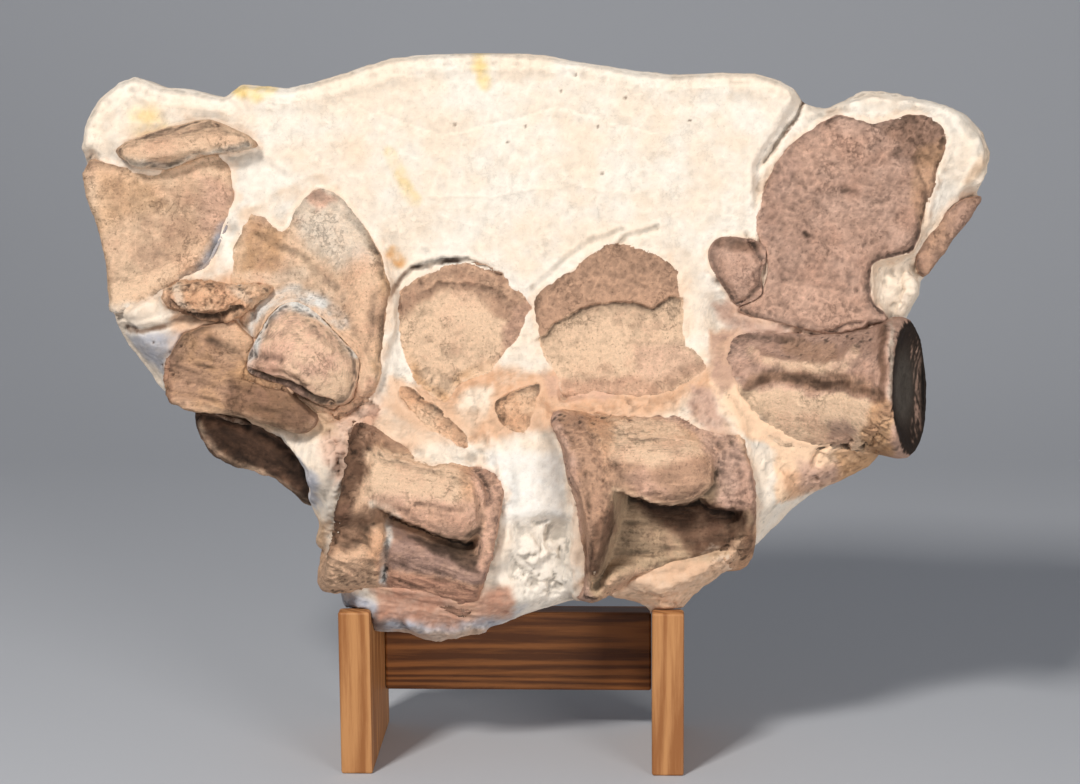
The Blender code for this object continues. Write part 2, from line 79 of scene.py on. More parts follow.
# How far limestone sinks under a bone, how far it clings to one, and how ragged its edge is.
BURIED = 2.6
CLINGS = 0.5
RAGGED = 4.5
# The grid of the face's heights, the gaps that it closes, and its height where there is none.
GROUND_CELL = 2
CLOSED_CELLS = 4
NO_GROUND = -60
# The solid's rounded rim, and the narrow worn edge that takes its place.
RIM_WIDTH = 24
RIM_DROP = 22
WORN_WIDTH = 7
WORN_DROP = 5
# The clefts under the lobes of the second and third centra, and the second one's flank.
C2_FLOOR = 10
C3_FLOOR = -1
CLEFT = 7
CLEFT_WIDTH = 18
MATRIX_DEEPER = 7
FLANK_DROP = 9
# How far noise moves the edges of relief, of painted areas and of painted lines.
RELIEF_SWAY = 2.2
AREA_SWAY = 6
STROKE_SWAY = 3
# The fade at a step's tips, and a pit's depth, radius and stain.
TIP_WIDTH = 12
PIT_DEPTH = 1.1
PIT_RADIUS = 0.8
PIT_STAIN = 0.9
# The end of the fourth centrum, painted as in shadow: where its rim starts, its middle and its hollow's half
# sizes.
DISC_START = 205
DISC_MIDDLE = (146, 6)
DISC_HOLLOW = (22, 20)
# The limits of a painted colour, and how strongly relief shades it.
BRIGHTEST = 249
DARKEST = 3
STONE_CONTRAST = 0.1
BONE_CONTRAST = 0.19

CAMERA_AIM = Vector((0.0034, -0.0099, 0.2393))
CAMERA_DISTANCE = 1.594
CAMERA_AZIMUTH = math.radians(2.5)
CAMERA_ELEVATION = math.radians(10.5)
CAMERA_ROLL = math.radians(-0.42)
CAMERA_LENS = 85
SENSOR_WIDTH = 36

# The studio, in metres: the backdrop's sweep, and each light's place, size, power and colour.
SWEEP_FRONT = -3.0
SWEEP_BEND = 0.9
SWEEP_RADIUS = 1.2
SWEEP_STEPS = 12
SWEEP_TOP = 3.5
SWEEP_SIDE = 4.0
LIGHT_AIM = Vector((0, 0, 0.25))
LIGHTS = {
    "key": ((-0.8, -1.5, 1.7), 0.35, 38, (1, 0.975, 0.945)),
    "fill": ((1.2, -1.9, 0.45), 0.8, 25, (1, 0.98, 0.96)),
}
WORLD_COLOUR = (0.62, 0.66, 0.74, 1)
WORLD_STRENGTH = 0.28

CHALK = (248, 244, 236)
CREAM = (239, 228, 213)
WARM_CREAM = (237, 218, 196)
STAIN = (232, 200, 134)
RUST = (214, 152, 92)
# A cool grey used only for painted shade, on limestone and bone that lie in shade.
SHADE_BLUE_GREY = (170, 172, 182)
BRIGHT_TAN = (250, 213, 178)
LIGHT_TAN = (240, 204, 170)
TAN = (218, 179, 147)
OCHRE = (194, 152, 114)
ORANGE_TAN = (216, 168, 132)
RED_BROWN = (190, 142, 118)
PINK_BROWN = (212, 170, 146)
BROWN = (184, 146, 120)
MAUVE = (200, 164, 144)
DUSK = (184, 148, 128)
PLUM = (176, 142, 126)
DARK_BROWN = (98, 72, 56)
# Near black, used only for painted shadow in cracks, a hole, under lobes and on faces turned from the light.
SHADOW_UMBER = (50, 38, 30)
# The grey of the fourth centrum's shadowed end hollow, used only for painted shadow.
SHADOW_GREY = (112, 104, 94)
UPRIGHT_PINE = (186, 132, 82), (148, 94, 50)
RAIL_PINE = (148, 92, 46), (90, 50, 20)
BACKDROP_GREY = (190, 192, 196)
OLIVE = (186, 158, 128)

N2_CRACK = [(-96, 196), (-89, 209), (-80, 218), (-62, 223), (-45, 223), (-25, 214), (-5, 200)]
N4_SCAR = [(163, 242), (165, 240)]
C4_GROOVE = [(130, 146), (144, 152), (159, 151), (178, 147), (196, 148), (205, 141)]
CHALK_EDGE = [(-187, 154), (-184, 174), (-173, 193), (-154, 203), (-138, 197), (-122, 184)]
N3_STEP = [
    (-8, 172), (3, 176), (9, 184), (25, 193), (42, 197), (58, 197), (70, 193), (81, 201), (95, 199),
]
C2_LOBE_EDGE = [(-98, 70), (-87, 64), (-77, 60), (-65, 55), (-52, 51), (-44, 50), (-36, 56)]
C3_LOBE_EDGE = [
    (46, 84), (56, 80), (63, 79), (69, 75), (78, 74), (92, 75), (100, 78), (108, 72), (118, 70), (134, 70),
]
C2_HOLLOW = [
    (-100, 84), (-60, 72), (-38, 66), (-32, 50), (-30, 36), (-48, 36), (-70, 44), (-92, 50), (-104, 60),
]
C3_HOLLOW = [
    (47, 96), (75, 90), (108, 96), (128, 84), (132, 62), (122, 44), (101, 34), (72, 34), (50, 28),
    (36, 12), (30, 20), (37, 46), (44, 70),
]
C2_LOBE = C2_LOBE_EDGE + [(-34, 66), (-38, 76), (-60, 76), (-92, 78), (-102, 76)]
C3_LOBE = C3_LOBE_EDGE[:7] + [(110, 90), (106, 100), (92, 112), (66, 112), (48, 104), (42, 92)]
C2_FLANK_HOLLOW = [
    (-140, 54), (-124, 68), (-106, 70), (-95, 62), (-99, 42), (-117, 38), (-135, 42),
]
LOWER_CORRIDOR = [
    (-19, 62), (4, 66), (22, 62), (25, 37), (22, 12), (1, 4), (-14, 14), (-22, 30), (-16, 46),
]
LEFT_CRUMBS = [
    (-136, 124), (-119, 134), (-104, 140), (-98, 130), (-106, 111), (-116, 92), (-126, 82), (-134, 104),
]
N2_FOOT = [(-104, 140), (-60, 128), (-30, 116), (-6, 112), (-10, 140), (-40, 150), (-90, 160)]
C3_TOP_CRUMBS = [(20, 130), (44, 136), (72, 140), (66, 128), (40, 120), (24, 122)]
C4_CRUMBS = [
    (168, 104), (189, 112), (202, 127), (212, 142), (219, 128), (212, 106), (198, 92), (176, 80), (164, 90),
]
C3_FOOT = [(112, 50), (128, 56), (128, 40), (112, 24), (104, 34)]
C2_FLANK_END = [(-144, 38), (-120, 36), (-98, 20), (-104, 4), (-124, 6), (-142, 26)]
RIGHT_CORNER = [(206, 222), (230, 232), (240, 214), (238, 196), (226, 186), (206, 194)]
PITS = [
    (21, 338), (12, 328), (52, 324), (-10, 306), (-21, 296), (35, 306), (38, 277), (92, 310),
    (-54, 307), (-242, 170), (-232, 164), (-238, 156), (-228, 150), (-224, 168),
]

# Where bone and limestone meet in one even surface.
FLUSH = [
    [
        (-226, 262), (-190, 266), (-150, 290), (-116, 288), (-90, 246), (-82, 200), (-86, 146),
        (-108, 150), (-118, 186), (-140, 206), (-186, 216), (-238, 220), (-246, 240),
    ],
    [
        (-100, 240), (-20, 240), (48, 252), (116, 250), (120, 170), (112, 142), (70, 132), (4, 138),
        (-2, 104), (-28, 104), (-46, 94), (-98, 112), (-104, 150),
    ],
    [
        (90, 190), (92, 252), (130, 262), (150, 286), (168, 318), (204, 324), (252, 322), (262, 290),
        (240, 240), (226, 200), (214, 188), (196, 180), (120, 172), (96, 176),
    ],
    [(44, 124), (70, 132), (104, 130), (118, 104), (108, 90), (48, 90)],
    [(-104, 108), (-70, 106), (-42, 104), (-32, 74), (-44, 64), (-100, 80)],
    [
        (-186, 168), (-176, 192), (-156, 206), (-134, 200), (-112, 182), (-98, 160), (-100, 138),
        (-112, 134), (-120, 146), (-136, 160), (-160, 172),
    ],
    [
        (104, 176), (104, 140), (114, 128), (134, 110), (150, 98), (190, 88), (214, 104), (214, 124),
        (190, 120), (160, 118), (140, 126), (124, 146), (122, 172),
    ],
    [(-104, 26), (-60, 22), (-14, 18), (-4, 8), (-24, -8), (-60, -12), (-104, -6)],
    [(34, 30), (60, 24), (100, 30), (122, 48), (132, 40), (112, 18), (84, 4), (44, 2), (30, 10)],
    [(128, 276), (140, 300), (156, 326), (170, 338), (178, 326), (164, 300), (150, 280), (138, 268)],
]

# Lines raised or sunk: the line, its half width and its height.
LINES = [
    (N2_CRACK[1:6], 1.5, -3.6),
    ([(48, 233), (52, 238), (62, 241), (72, 244)], 1.8, -3),
    ([(-6, 205), (14, 224), (33, 236), (50, 242)], 2, -1.5),
    ([(166, 330), (159, 313), (148, 298), (138, 285)], 1.3, -5),
    ([(-182, 291), (-151, 269), (-122, 250), (-103, 229)], 3, -0.8),
    ([(-254, 281), (-231, 279), (-209, 286), (-180, 291)], 2.5, 2),
    ([(-262, 296), (-236, 303), (-205, 305)], 3, 1.5),
    ([(-267, 190), (-250, 190), (-236, 198)], 5, 4),
    ([(-219, 212), (-209, 218), (-202, 228), (-195, 239)], 8, -3),
    ([(-262, 179), (-250, 178), (-235, 181), (-222, 186), (-200, 185), (-186, 192)], 2.6, -4.5),
    ([(-178, 238), (-150, 226), (-128, 205)], 3, -1.2),
    ([(-96, 207), (-94, 185), (-100, 161), (-107, 142)], 5, 3.5),
    ([(-104, 200), (-104, 178), (-110, 158)], 4, -1.5),
    ([(-181, 152), (-169, 148), (-153, 144), (-140, 136), (-129, 133)], 3, -8),
    ([(-172, 158), (-154, 156), (-142, 148)], 2.5, 2),
    ([(-233, 157), (-228, 135)], 5, 3),
    ([(-205, 172), (-180, 164), (-160, 160)], 4, -3),
    ([(-218, 124), (-190, 120), (-165, 108), (-148, 90)], 4, -5),
    ([(-213, 122), (-205, 102), (-188, 95), (-166, 88), (-144, 74)], 4, 3),
    ([(-107, 114), (-115, 98), (-124, 80), (-133, 60), (-138, 44)], 4, 4),
    ([(-112, 104), (-118, 90), (-126, 72), (-130, 58)], 3, -3),
    ([(-103, 105), (-110, 88), (-119, 69), (-125, 59)], 3.5, 3),
    ([(-94, 107), (-79, 102), (-63, 98), (-44, 98), (-37, 102)], 3, -2.5),
    ([(-80, 68), (-74, 72), (-66, 72), (-55, 70), (-46, 70)], 2, -1.6),
    ([(-31, 117), (-22, 99), (-18, 75), (-19, 54), (-26, 37)], 4, 3),
    ([(-40, 98), (-34, 75), (-34, 58)], 3, -2),
    ([(-92, 65), (-92, 52), (-93, 40), (-96, 25)], 2, -3),
    ([(-95, 33), (-73, 32), (-42, 24), (-20, 16)], 4, -2),
    ([(-80, -5), (-70, -10), (-62, -14), (-49, -11), (-36, -7)], 4, 4),
    ([(1, 130), (11, 117), (19, 99), (22, 75), (24, 51), (23, 29), (25, 14)], 5, 4),
    ([(16, 124), (25, 108), (32, 84), (33, 60), (33, 40), (36, 22)], 4, -2.5),
    ([(114, 137), (123, 123), (129, 101), (131, 80), (130, 56)], 4, 2.5),
    ([(92, 136), (104, 122), (110, 104), (112, 84)], 3.5, -0.8),
    ([(55, 122), (69, 127), (86, 129)], 3, -1.5),
    ([(135, 164), (142, 161), (153, 159), (172, 158), (185, 159), (191, 166)], 4, 3.5),
    ([(150, 172), (160, 171), (180, 168)], 4, -2.5),
    (C4_GROOVE, 6, -3),
    ([(159, 180), (171, 179), (181, 180), (188, 184), (199, 186)], 1.6, -2),
    ([(169, 97), (173, 106), (181, 109), (191, 108)], 1.6, -3),
    (N4_SCAR, 1.5, -2.4),
    ([(213, 187), (211, 170), (210, 152), (211, 138)], 3, 2.5),
    ([(204, 186), (203, 168), (203, 145)], 3, -1.5),
    ([(124, 196), (136, 208), (139, 222), (128, 240)], 2, -3),
    ([(156, 256), (170, 266), (190, 268), (206, 262)], 2, -0.8),
    ([(150, 214), (172, 208), (196, 206)], 2, -0.8),
]
# Ledges: the ground on the left of the line's run stands higher by the height and falls
# back to its own level over the reach.
STEPS = [
    (N3_STEP[::-1], -2.6, 30),
    ([(-14, 194), (-24, 204), (-44, 209), (-64, 208), (-80, 200)], -1.4, 16),
    ([(-76, 262), (-30, 262), (20, 270), (60, 262)], 0.5, 40),
    ([(-120, 320), (-60, 300), (10, 318), (80, 300)], -0.5, 40),
    ([(232, 290), (240, 262), (236, 236)], 2, 20),
]
# Swellings and dips: the outline, its height and how soft its edge is.
SWELLS = [
    (LOWER_CORRIDOR, -8, 16),
    ([(-92, 56), (-72, 52), (-47, 41), (-28, 30), (-24, 16), (-41, 10), (-72, 9), (-92, 14)], 3, 10),
    ([(42, 25), (63, 32), (88, 32), (113, 42), (126, 50), (123, 35), (101, 18), (68, 10), (45, 10)], 6, 12),
    ([(-82, 190), (-63, 203), (-41, 203), (-25, 191), (-22, 173), (-37, 159), (-59, 155),
      (-75, 167)], -1.5, 12),
    ([(64, 120), (98, 120), (104, 100), (80, 92), (56, 98)], -1.5, 14),
    ([(-86, 100), (-50, 96), (-44, 82), (-64, 78), (-88, 82)], -1.5, 12),
    (RIGHT_CORNER, -8, 12),
    ([(104, 238), (138, 236), (140, 206), (124, 194), (108, 204), (100, 224)], -2, 10),
    ([(-272, 200), (-250, 168), (-222, 160), (-226, 130), (-262, 150)], -5, 14),
]
# Crumbling ground: the outline, how deep its cracks are and the size of its crumbs.
CRUMBS = [
    (LEFT_CRUMBS, 2.6, 6.5), (C3_TOP_CRUMBS, 1.6, 6), (C4_CRUMBS, 2.4, 8), (C3_FOOT, 2.0, 6),
    (N2_FOOT, 0.9, 9),
    ([(120, 118), (134, 104), (142, 84), (150, 70), (176, 80), (160, 96), (140, 112)], 1.2, 8),
    ([(88, 4), (60, 12), (30, 12), (18, 18), (30, 26), (70, 18), (96, 14)], 1.4, 8),
]
# Stone broken in ledges: the outline, the height of its ledges and their size.
BROKEN = [
    (LOWER_CORRIDOR, 13, 19), (C2_FLANK_END, 4, 13), (RIGHT_CORNER, 6, 14), (C4_CRUMBS, 4, 12),
    ([(204, 296), (212, 318), (252, 320), (260, 288), (244, 262), (230, 280)], 4, 9),
    ([(-236, 300), (-262, 312), (-276, 330), (-240, 335), (-200, 326), (-214, 310)], 1.6, 18),
    ([(-200, 300), (-150, 285), (-110, 262), (-140, 300), (-180, 318)], 1.4, 16),
    (N2_FOOT, 2.2, 14),
    ([(20, 130), (50, 140), (104, 146), (108, 134), (70, 128), (40, 120), (24, 122)], 1.8, 11),
    ([(-150, 60), (-128, 20), (-92, 4), (-20, 0), (-30, -14), (-84, -18), (-130, -4)], 4.5, 14),
    ([(42, 25), (88, 32), (126, 50), (123, 35), (101, 10), (68, 4), (45, 6)], 2, 14),
    ([(-236, 208), (-176, 210), (-176, 184), (-236, 184)], 7, 9),
    ([(48, 92), (80, 90), (108, 96), (106, 76), (46, 78)], 2.4, 9),
    ([(-98, 78), (-40, 70), (-36, 52), (-96, 66)], 2.4, 9),
    ([(-186, 150), (-110, 150), (-110, 196), (-186, 196)], 1.6, 12),
]
# Grainy bone: the outline and the height of its grain.
GRAIN = [
    ([(-140, 40), (-126, 84), (-110, 120), (-96, 124), (-104, 90), (-116, 60), (-120, 40)], 1.0),
    ([(-46, 110), (-28, 120), (-12, 80), (-16, 40), (-34, 22), (-42, 40), (-34, 60), (-40, 90)], 0.7),
    ([(10, 130), (34, 126), (44, 104), (48, 84), (40, 60), (32, 26), (28, 48), (28, 80), (20, 106)], 0.8),
    ([(78, 140), (99, 146), (116, 138), (130, 110), (134, 74), (112, 74), (108, 100), (98, 118),
      (80, 126)], 0.8),
    ([(-8, 180), (9, 190), (25, 199), (58, 201), (92, 206), (76, 232), (46, 238), (14, 222)], 0.5),
    ([(110, 190), (110, 250), (150, 310), (250, 318), (256, 280), (216, 186), (214, 150),
      (110, 150)], 0.45),
    ([(-92, 200), (-70, 222), (-40, 224), (-4, 200), (-14, 168), (-24, 192), (-44, 206), (-70, 204)], 0.4),
]
# Lines of fine ridges: the outline, the direction they run in degrees and their height.
STRIAE = [
    ([(-232, 160), (-200, 168), (-176, 150), (-150, 122), (-190, 118), (-236, 130)], -12, 1.0),
    (C3_HOLLOW, 0, 0.7),
    ([(-140, 60), (-96, 58), (-96, 6), (-130, 10)], -25, 1.0),
    ([(-92, 56), (-30, 36), (-20, 14), (-92, 12)], -18, 0.9),
    ([(24, 120), (44, 110), (48, 80), (36, 30), (28, 60)], 100, 0.4),
    ([(120, 156), (204, 160), (208, 136), (120, 136)], 0, 0.4),
    ([(36, 32), (60, 36), (116, 48), (124, 30), (90, 10), (40, 12)], 4, 0.6),
    ([(-98, 24), (-14, 18), (-18, -6), (-98, -6)], -8, 0.8),
]


def smooth(value):
    """0 below 0, 1 above 1 and an S curve between them."""
    t = np.clip(value, 0, 1)
    return t * t * (3 - 2 * t)


def segment_distance(x, y, start, end):
    run = np.subtract(end, start).astype(float)
    along = ((x - start[0]) * run[0] + (y - start[1]) * run[1]) / run.dot(run)
    along = np.clip(along, 0, 1)
    return np.hypot(x - start[0] - along * run[0], y - start[1] - along * run[1])


def line_distance(x, y, line):
    return np.min([segment_distance(x, y, a, b) for a, b in zip(line, line[1:])], axis=0)


def side_distance(x, y, line):
    """The distance from a line, above 0 on the left of its run, infinite past its tips."""
    best, signed = np.full(np.shape(x), np.inf), np.zeros(np.shape(x))
    last = len(line) - 2
    for number, (start, end) in enumerate(zip(line, line[1:])):
        away = segment_distance(x, y, start, end)
        run = np.subtract(end, start)
        side = np.sign(run[0] * (y - start[1]) - run[1] * (x - start[0]))
        along = ((x - start[0]) * run[0] + (y - start[1]) * run[1]) / run.dot(run)
        past = ((number == 0) & (along < 0)) | ((number == last) & (along > 1))
        signed = np.where(away < best, np.where(past, np.inf, away * side), signed)
        best = np.minimum(best, away)
    return signed


def tip_fade(x, y, line):
    """1 along the line's run and 0 past its two tips."""
    run = np.subtract(line[-1], line[0]).astype(float)
    along = ((x - line[0][0]) * run[0] + (y - line[0][1]) * run[1]) / np.hypot(*run)
    return smooth(np.minimum(along, np.hypot(*run) - along) / TIP_WIDTH)


def depth_inside(x, y, outline):
    """How far each point is inside the closed outline, less than 0 outside it."""
    sides = list(zip(outline, outline[1:] + outline[:1]))
    away = np.min([segment_distance(x, y, a, b) for a, b in sides], axis=0)
    crossings = np.zeros(np.shape(x), int)
    for (x0, y0), (x1, y1) in sides:
        if y0 != y1:
            crosses = (y0 > y) != (y1 > y)
            crossings += crosses & (x < x0 + (y - y0) * (x1 - x0) / (y1 - y0))
    return np.where(crossings % 2 == 1, away, -away)


# A turn that keeps the noise's cells from lining up with the block.
TURN = np.array(Matrix.Rotation(0.9, 3, "X") @ Matrix.Rotation(1.1, 3, "Y") @ Matrix.Rotation(0.6, 3, "Z"))


def lattice(cells, seed):
    """A repeatable number from -1 to 1 for each whole-numbered cell."""
    mixed_bits = cells[:, 0] * 73856093 ^ cells[:, 1] * 19349663 ^ cells[:, 2] * 83492791
    mixed_bits = (mixed_bits ^ (seed * 374761393)) & 0xFFFFFFFF
    mixed_bits = ((mixed_bits ^ (mixed_bits >> 13)) * 1274126177) & 0xFFFFFFFF
    mixed_bits = mixed_bits ^ (mixed_bits >> 16)
    return (mixed_bits & 0xFFFF) / 32767.5 - 1


def noise(points, size, seed=0):
    """Smooth noise from -1 to 1 with lumps of the given size."""
    places = points @ TURN / size
    cell = np.floor(places).astype(np.int64)
    part = places - cell
    part = part * part * (3 - 2 * part)
    total = np.zeros(len(points))
    for corner in range(8):
        step = np.array([corner & 1, corner >> 1 & 1, corner >> 2])
        weight = np.prod(np.where(step == 1, part, 1 - part), axis=1)
        total += weight * lattice(cell + step, seed)
    return total


def fractal(points, size, octaves=4, seed=0, fade=0.55):
    total, weight, scale = 0, 1.0, 0
    for octave in range(octaves):
        total = total + weight * noise(points, size / 2**octave, seed + octave)
        points = points @ TURN
        scale += weight
        weight *= fade
    return total / scale


def ridged(points, size, octaves=3, seed=0):
    """Noise from -1 to 1 with sharp crests between rounded hollows."""
    total, weight, scale = 0, 1.0, 0
    for octave in range(octaves):
        total = total + weight * (1 - 2.4 * np.abs(noise(points, size / 2**octave, seed + octave)))
        points = points @ TURN
        scale += weight
        weight *= 0.6
    return total / scale


def crumbs(points, size, seed):
    """Broken ground: 0 along the cracks and 1 beside them, and each lump's tilted top."""
    warp = np.stack([fractal(points, 0.8 * size, 3, seed + 10 + k) for k in range(3)], axis=1)
    places = points / size + 0.45 * warp
    home = np.floor(places).astype(np.int64)
    nearest, second = np.full(len(points), 9.0), np.full(len(points), 9.0)
    top = np.zeros(len(points))
    for shift in np.ndindex(3, 3, 3):
        cell = home + np.array(shift) - 1
        heart = cell + 0.5 + 0.45 * np.stack([lattice(cell, seed + k) for k in range(3)], axis=1)
        offset = places - heart
        away = np.linalg.norm(offset, axis=1)
        closer = away < nearest
        second = np.where(closer, nearest, np.minimum(second, away))
        tilted = lattice(cell, seed + 3) + 1.6 * lattice(cell, seed + 4) * offset[:, 0]
        tilted = tilted + 1.6 * lattice(cell, seed + 5) * offset[:, 1]
        top = np.where(closer, tilted, top)
        nearest = np.minimum(nearest, away)
    return smooth((second - nearest) / 0.14), top


def broken(points, size, seed):
    """Ledges of broken stone from about -1 to 1: level tops between short ragged falls."""
    height = 2.6 * fractal(points, size, 5, seed, 0.6)
    level = np.floor(height)
    return 0.5 * (level + smooth((height - level - 0.5) / 0.4)) + 0.15 * height


def near_box(x, y, places, margin):
    """Which points lie in the box round a line or outline, grown by the margin."""
    low, high = np.min(places, axis=0) - margin, np.max(places, axis=0) + margin
    return (x > low[0]) & (x < high[0]) & (y > low[1]) & (y < high[1])


def share_inside(x, y, outline, softness, start=0.5):
    """1 well inside the outline and 0 outside it, over the softness."""
    share = np.zeros(len(x))
    some = near_box(x, y, outline, softness)
    if some.any():
        share[some] = smooth(depth_inside(x[some], y[some], outline) / softness + start)
    return share


def share_along(x, y, line, width, start=1.3):
    """1 on the line and 0 beyond its width."""
    share = np.zeros(len(x))
    some = near_box(x, y, line, start * width)
    if some.any():
        share[some] = smooth(start - line_distance(x[some], y[some], line) / width)
    return share


def block_pose():
    """From the block's plane to the world, as the stand's left board shows where it is."""
    shift = Vector(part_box("stand_left_board")[0]) - LEFT_BOARD_CORNER
    roll = Matrix.Translation(ROLL_CENTRE) @ Matrix.Rotation(BLOCK_ROLL, 4, "Z")
    roll = roll @ Matrix.Translation(-ROLL_CENTRE)
    stand_up = Matrix.Rotation(math.radians(90) - LEAN, 4, "X")
    return Matrix.Translation(BLOCK_REST + shift) @ stand_up @ roll @ Matrix.Scale(0.001, 4)


def coordinates(mesh):
    values = np.empty(len(mesh.vertices) * 3)
    mesh.vertices.foreach_get("co", values)
    return values.reshape(-1, 3)


def normals_of(mesh):
    values = np.empty(len(mesh.vertices) * 3)
    mesh.vertex_normals.foreach_get("vector", values)
    return values.reshape(-1, 3)


def put_coordinates(mesh, points):
    mesh.vertices.foreach_set("co", points.astype(np.float32).ravel())
    mesh.update()


def flat_mesh(name, pose):
    """The solid of a node on the block's plane, in millimetres."""
    node = frame["nodes"][name]
    mesh = node.data.copy()
    mesh.transform(pose.inverted() @ node.matrix_world)
    return mesh


def joined(meshes):
    places, faces = [], []
    for mesh in meshes:
        start = len(places)
        places += [v.co[:] for v in mesh.vertices]
        faces += [[start + i for i in p.vertices] for p in mesh.polygons]
    whole = bpy.data.meshes.new("whole")
    whole.from_pydata(places, [], faces)
    return whole


def remeshed(mesh, voxel, passes):
    """The closed mesh with even faces of the voxel's size, its corners a little worn."""
    worker = bpy.data.objects.new("worker", mesh)
    bpy.context.scene.collection.objects.link(worker)
    remesh = worker.modifiers.new("Remesh", "REMESH")
    remesh.mode = "VOXEL"
    remesh.voxel_size = voxel
    wear = worker.modifiers.new("Smooth", "SMOOTH")
    wear.factor = 0.5
    wear.iterations = passes
    evaluated = worker.evaluated_get(bpy.context.evaluated_depsgraph_get())
    result = bpy.data.meshes.new_from_object(evaluated)
    bpy.data.objects.remove(worker)
    return result


def gridded(points, weight, spacing, margin):
    """A grid over the face: its low corner, each point's cell, and the cells' sums."""
    low = points[:, :2].min(axis=0) - margin * spacing
    cell = np.round((points[:, :2] - low) / spacing).astype(int)
    shape = tuple(cell.max(axis=0) + margin + 1)
    total, count = np.zeros(shape), np.zeros(shape)
    np.add.at(total, (cell[:, 0], cell[:, 1]), points[:, 2] * weight)
    np.add.at(count, (cell[:, 0], cell[:, 1]), weight)
    return low, cell, total, count


def averaged(height, share, reach, spread, keep=None):
    """The grid of heights averaged over the cells round each one.

    With keep, only ground within about that height of the cell counts, so edges stay.
    """
    summed, weights = np.zeros(height.shape), np.full(height.shape, 1e-6)
    for across in range(-reach, reach + 1):
        for up in range(-reach, reach + 1):
            other = np.roll(height, (across, up), (0, 1))
            pull = math.exp(-(across**2 + up**2) / spread) * np.roll(share, (across, up), (0, 1))
            if keep:
                pull = pull * np.exp(-((other - height) ** 2) / (2 * keep**2))
            summed += other * pull
            weights += pull
    return summed / weights


def levelled(points, weight, reach, keep=None):
    """The height of the face round each point, averaged over the reach."""
    _, cell, total, count = gridded(points, weight, reach / 3, 7)
    mean = averaged(total / np.maximum(count, 1e-6), np.minimum(count, 1), 6, 18, keep)
    return np.where(weight > 0.01, mean[cell[:, 0], cell[:, 1]], points[:, 2])


def surface_distance(points, tree):
    return np.array([tree.find_nearest(Vector(p))[3] for p in points])


def nearest_tree(places):
    tree = KDTree(len(places))
    for number, place in enumerate(places):
        tree.insert(place, number)
    tree.balance()
    return tree


def carried(values, points, new_points):
    """The values of the nearest old points at the new ones."""
    tree = nearest_tree(points)
    return values[[tree.find(place)[1] for place in new_points]]


def hollow_under(points, outline, edge, floor):
    """Sinks the ground below a process's overhanging edge down to the hollow's floor."""
    x, y, z = points.T
    xs = [p[0] for p in edge]
    below = np.interp(x, xs, [p[1] for p in edge]) + 1.2 * noise(points, 5, 71) - y
    depth = smooth(depth_inside(x, y, outline) / 11) * smooth(below / 2.5)
    sunk = floor + CLEFT * smooth(below / CLEFT_WIDTH) + 0.15 * below.clip(0, 60)
    return (np.minimum(z, sunk) - z) * depth


def ground_of(points, facing):
    """The block's front as a grid of heights, narrow gaps filled and steps eased."""
    low, _, total, count = gridded(points, facing, GROUND_CELL, 10)
    height = np.where(count > 0.3, total / np.maximum(count, 0.3), NO_GROUND)
    reach = range(-CLOSED_CELLS, CLOSED_CELLS + 1)
    disc = [(i, j) for i in reach for j in reach if i * i + j * j <= CLOSED_CELLS**2]
    for lifted in (np.maximum, np.minimum):
        height = lifted.reduce([np.roll(height, step, (0, 1)) for step in disc])
    return low, averaged(height, height > NO_GROUND / 2, 7, 16)


def ground_at(ground, x, y):
    low, height = ground
    across, up = (x - low[0]) / GROUND_CELL, (y - low[1]) / GROUND_CELL
    i, j = np.floor(across).astype(int), np.floor(up).astype(int)
    i, j = np.clip(i, 0, height.shape[0] - 2), np.clip(j, 0, height.shape[1] - 2)
    s, t = across - i, up - j
    lower = height[i, j] * (1 - s) + height[i + 1, j] * s
    upper = height[i, j + 1] * (1 - s) + height[i + 1, j + 1] * s
    return lower * (1 - t) + upper * t


def rim_distance(points):
    """How far each point is from the block's outline, seen from the front."""
    low = points[:, :2].min(axis=0) - 4
    cell = np.round(points[:, :2] - low).astype(int)
    filled = np.zeros(tuple(cell.max(axis=0) + 5), bool)
    for across, up in np.ndindex(3, 3):
        filled[cell[:, 0] + across - 1, cell[:, 1] + up - 1] = True
    inner = filled.copy()
    for step in ((1, 0), (-1, 0), (0, 1), (0, -1)):
        inner &= np.roll(filled, step, (0, 1))
    rim = np.argwhere(filled & ~inner) + low
    tree = nearest_tree([(x, y, 0) for x, y in rim])
    return np.array([tree.find((x, y, 0))[2] for x, y in points[:, :2]]) - 1


def squared_rim(points, normals):
    """Fills the rounded rim of the slab, so its face runs level to a crisp edge."""
    inside = rim_distance(points)
    lift = RIM_DROP * (1 - smooth(inside / RIM_WIDTH + 0.12)) ** 2
    lift = np.maximum(lift - WORN_DROP * (1 - smooth(inside / WORN_WIDTH)) ** 2, 0)
    front = smooth((normals[:, 2] + 0.1) / 0.3) * smooth((points[:, 2] + 30) / 10)
    return lift * front * smooth((points[:, 1] - 150) / 40)


def made_flush(points, normals, ground):
    """Draws bone and limestone to the one even surface in the flush zones."""
    x, y, z = points.T
    share = np.zeros(len(points))
    for outline in FLUSH:
        share = np.maximum(share, share_inside(x, y, outline, 12, 0.3))
    level = ground_at(ground, x, y)
    share = share * smooth((normals[:, 2] + 0.3) / 0.3) * smooth(3 - np.abs(z - level) / 6)
    return share * (level - z)


def broad_relief(points, facing, is_matrix):
    """The hollows, swellings and dips of the face, before its surface is made fine."""
    points = points.copy()
    deeper = MATRIX_DEEPER if is_matrix else 0
    for outline, edge, floor in ((C3_HOLLOW, C3_LOBE_EDGE, C3_FLOOR), (C2_HOLLOW, C2_LOBE_EDGE, C2_FLOOR)):
        points[:, 2] += facing * hollow_under(points, outline, edge, floor - deeper)
    x, y = points[:, 0], points[:, 1]
    points[:, 2] -= facing * FLANK_DROP * share_inside(x, y, C2_FLANK_HOLLOW, 10, 0)
    for outline, height, softness in SWELLS:
        points[:, 2] += facing * height * share_inside(x, y, outline, softness, 0.3)
    return points


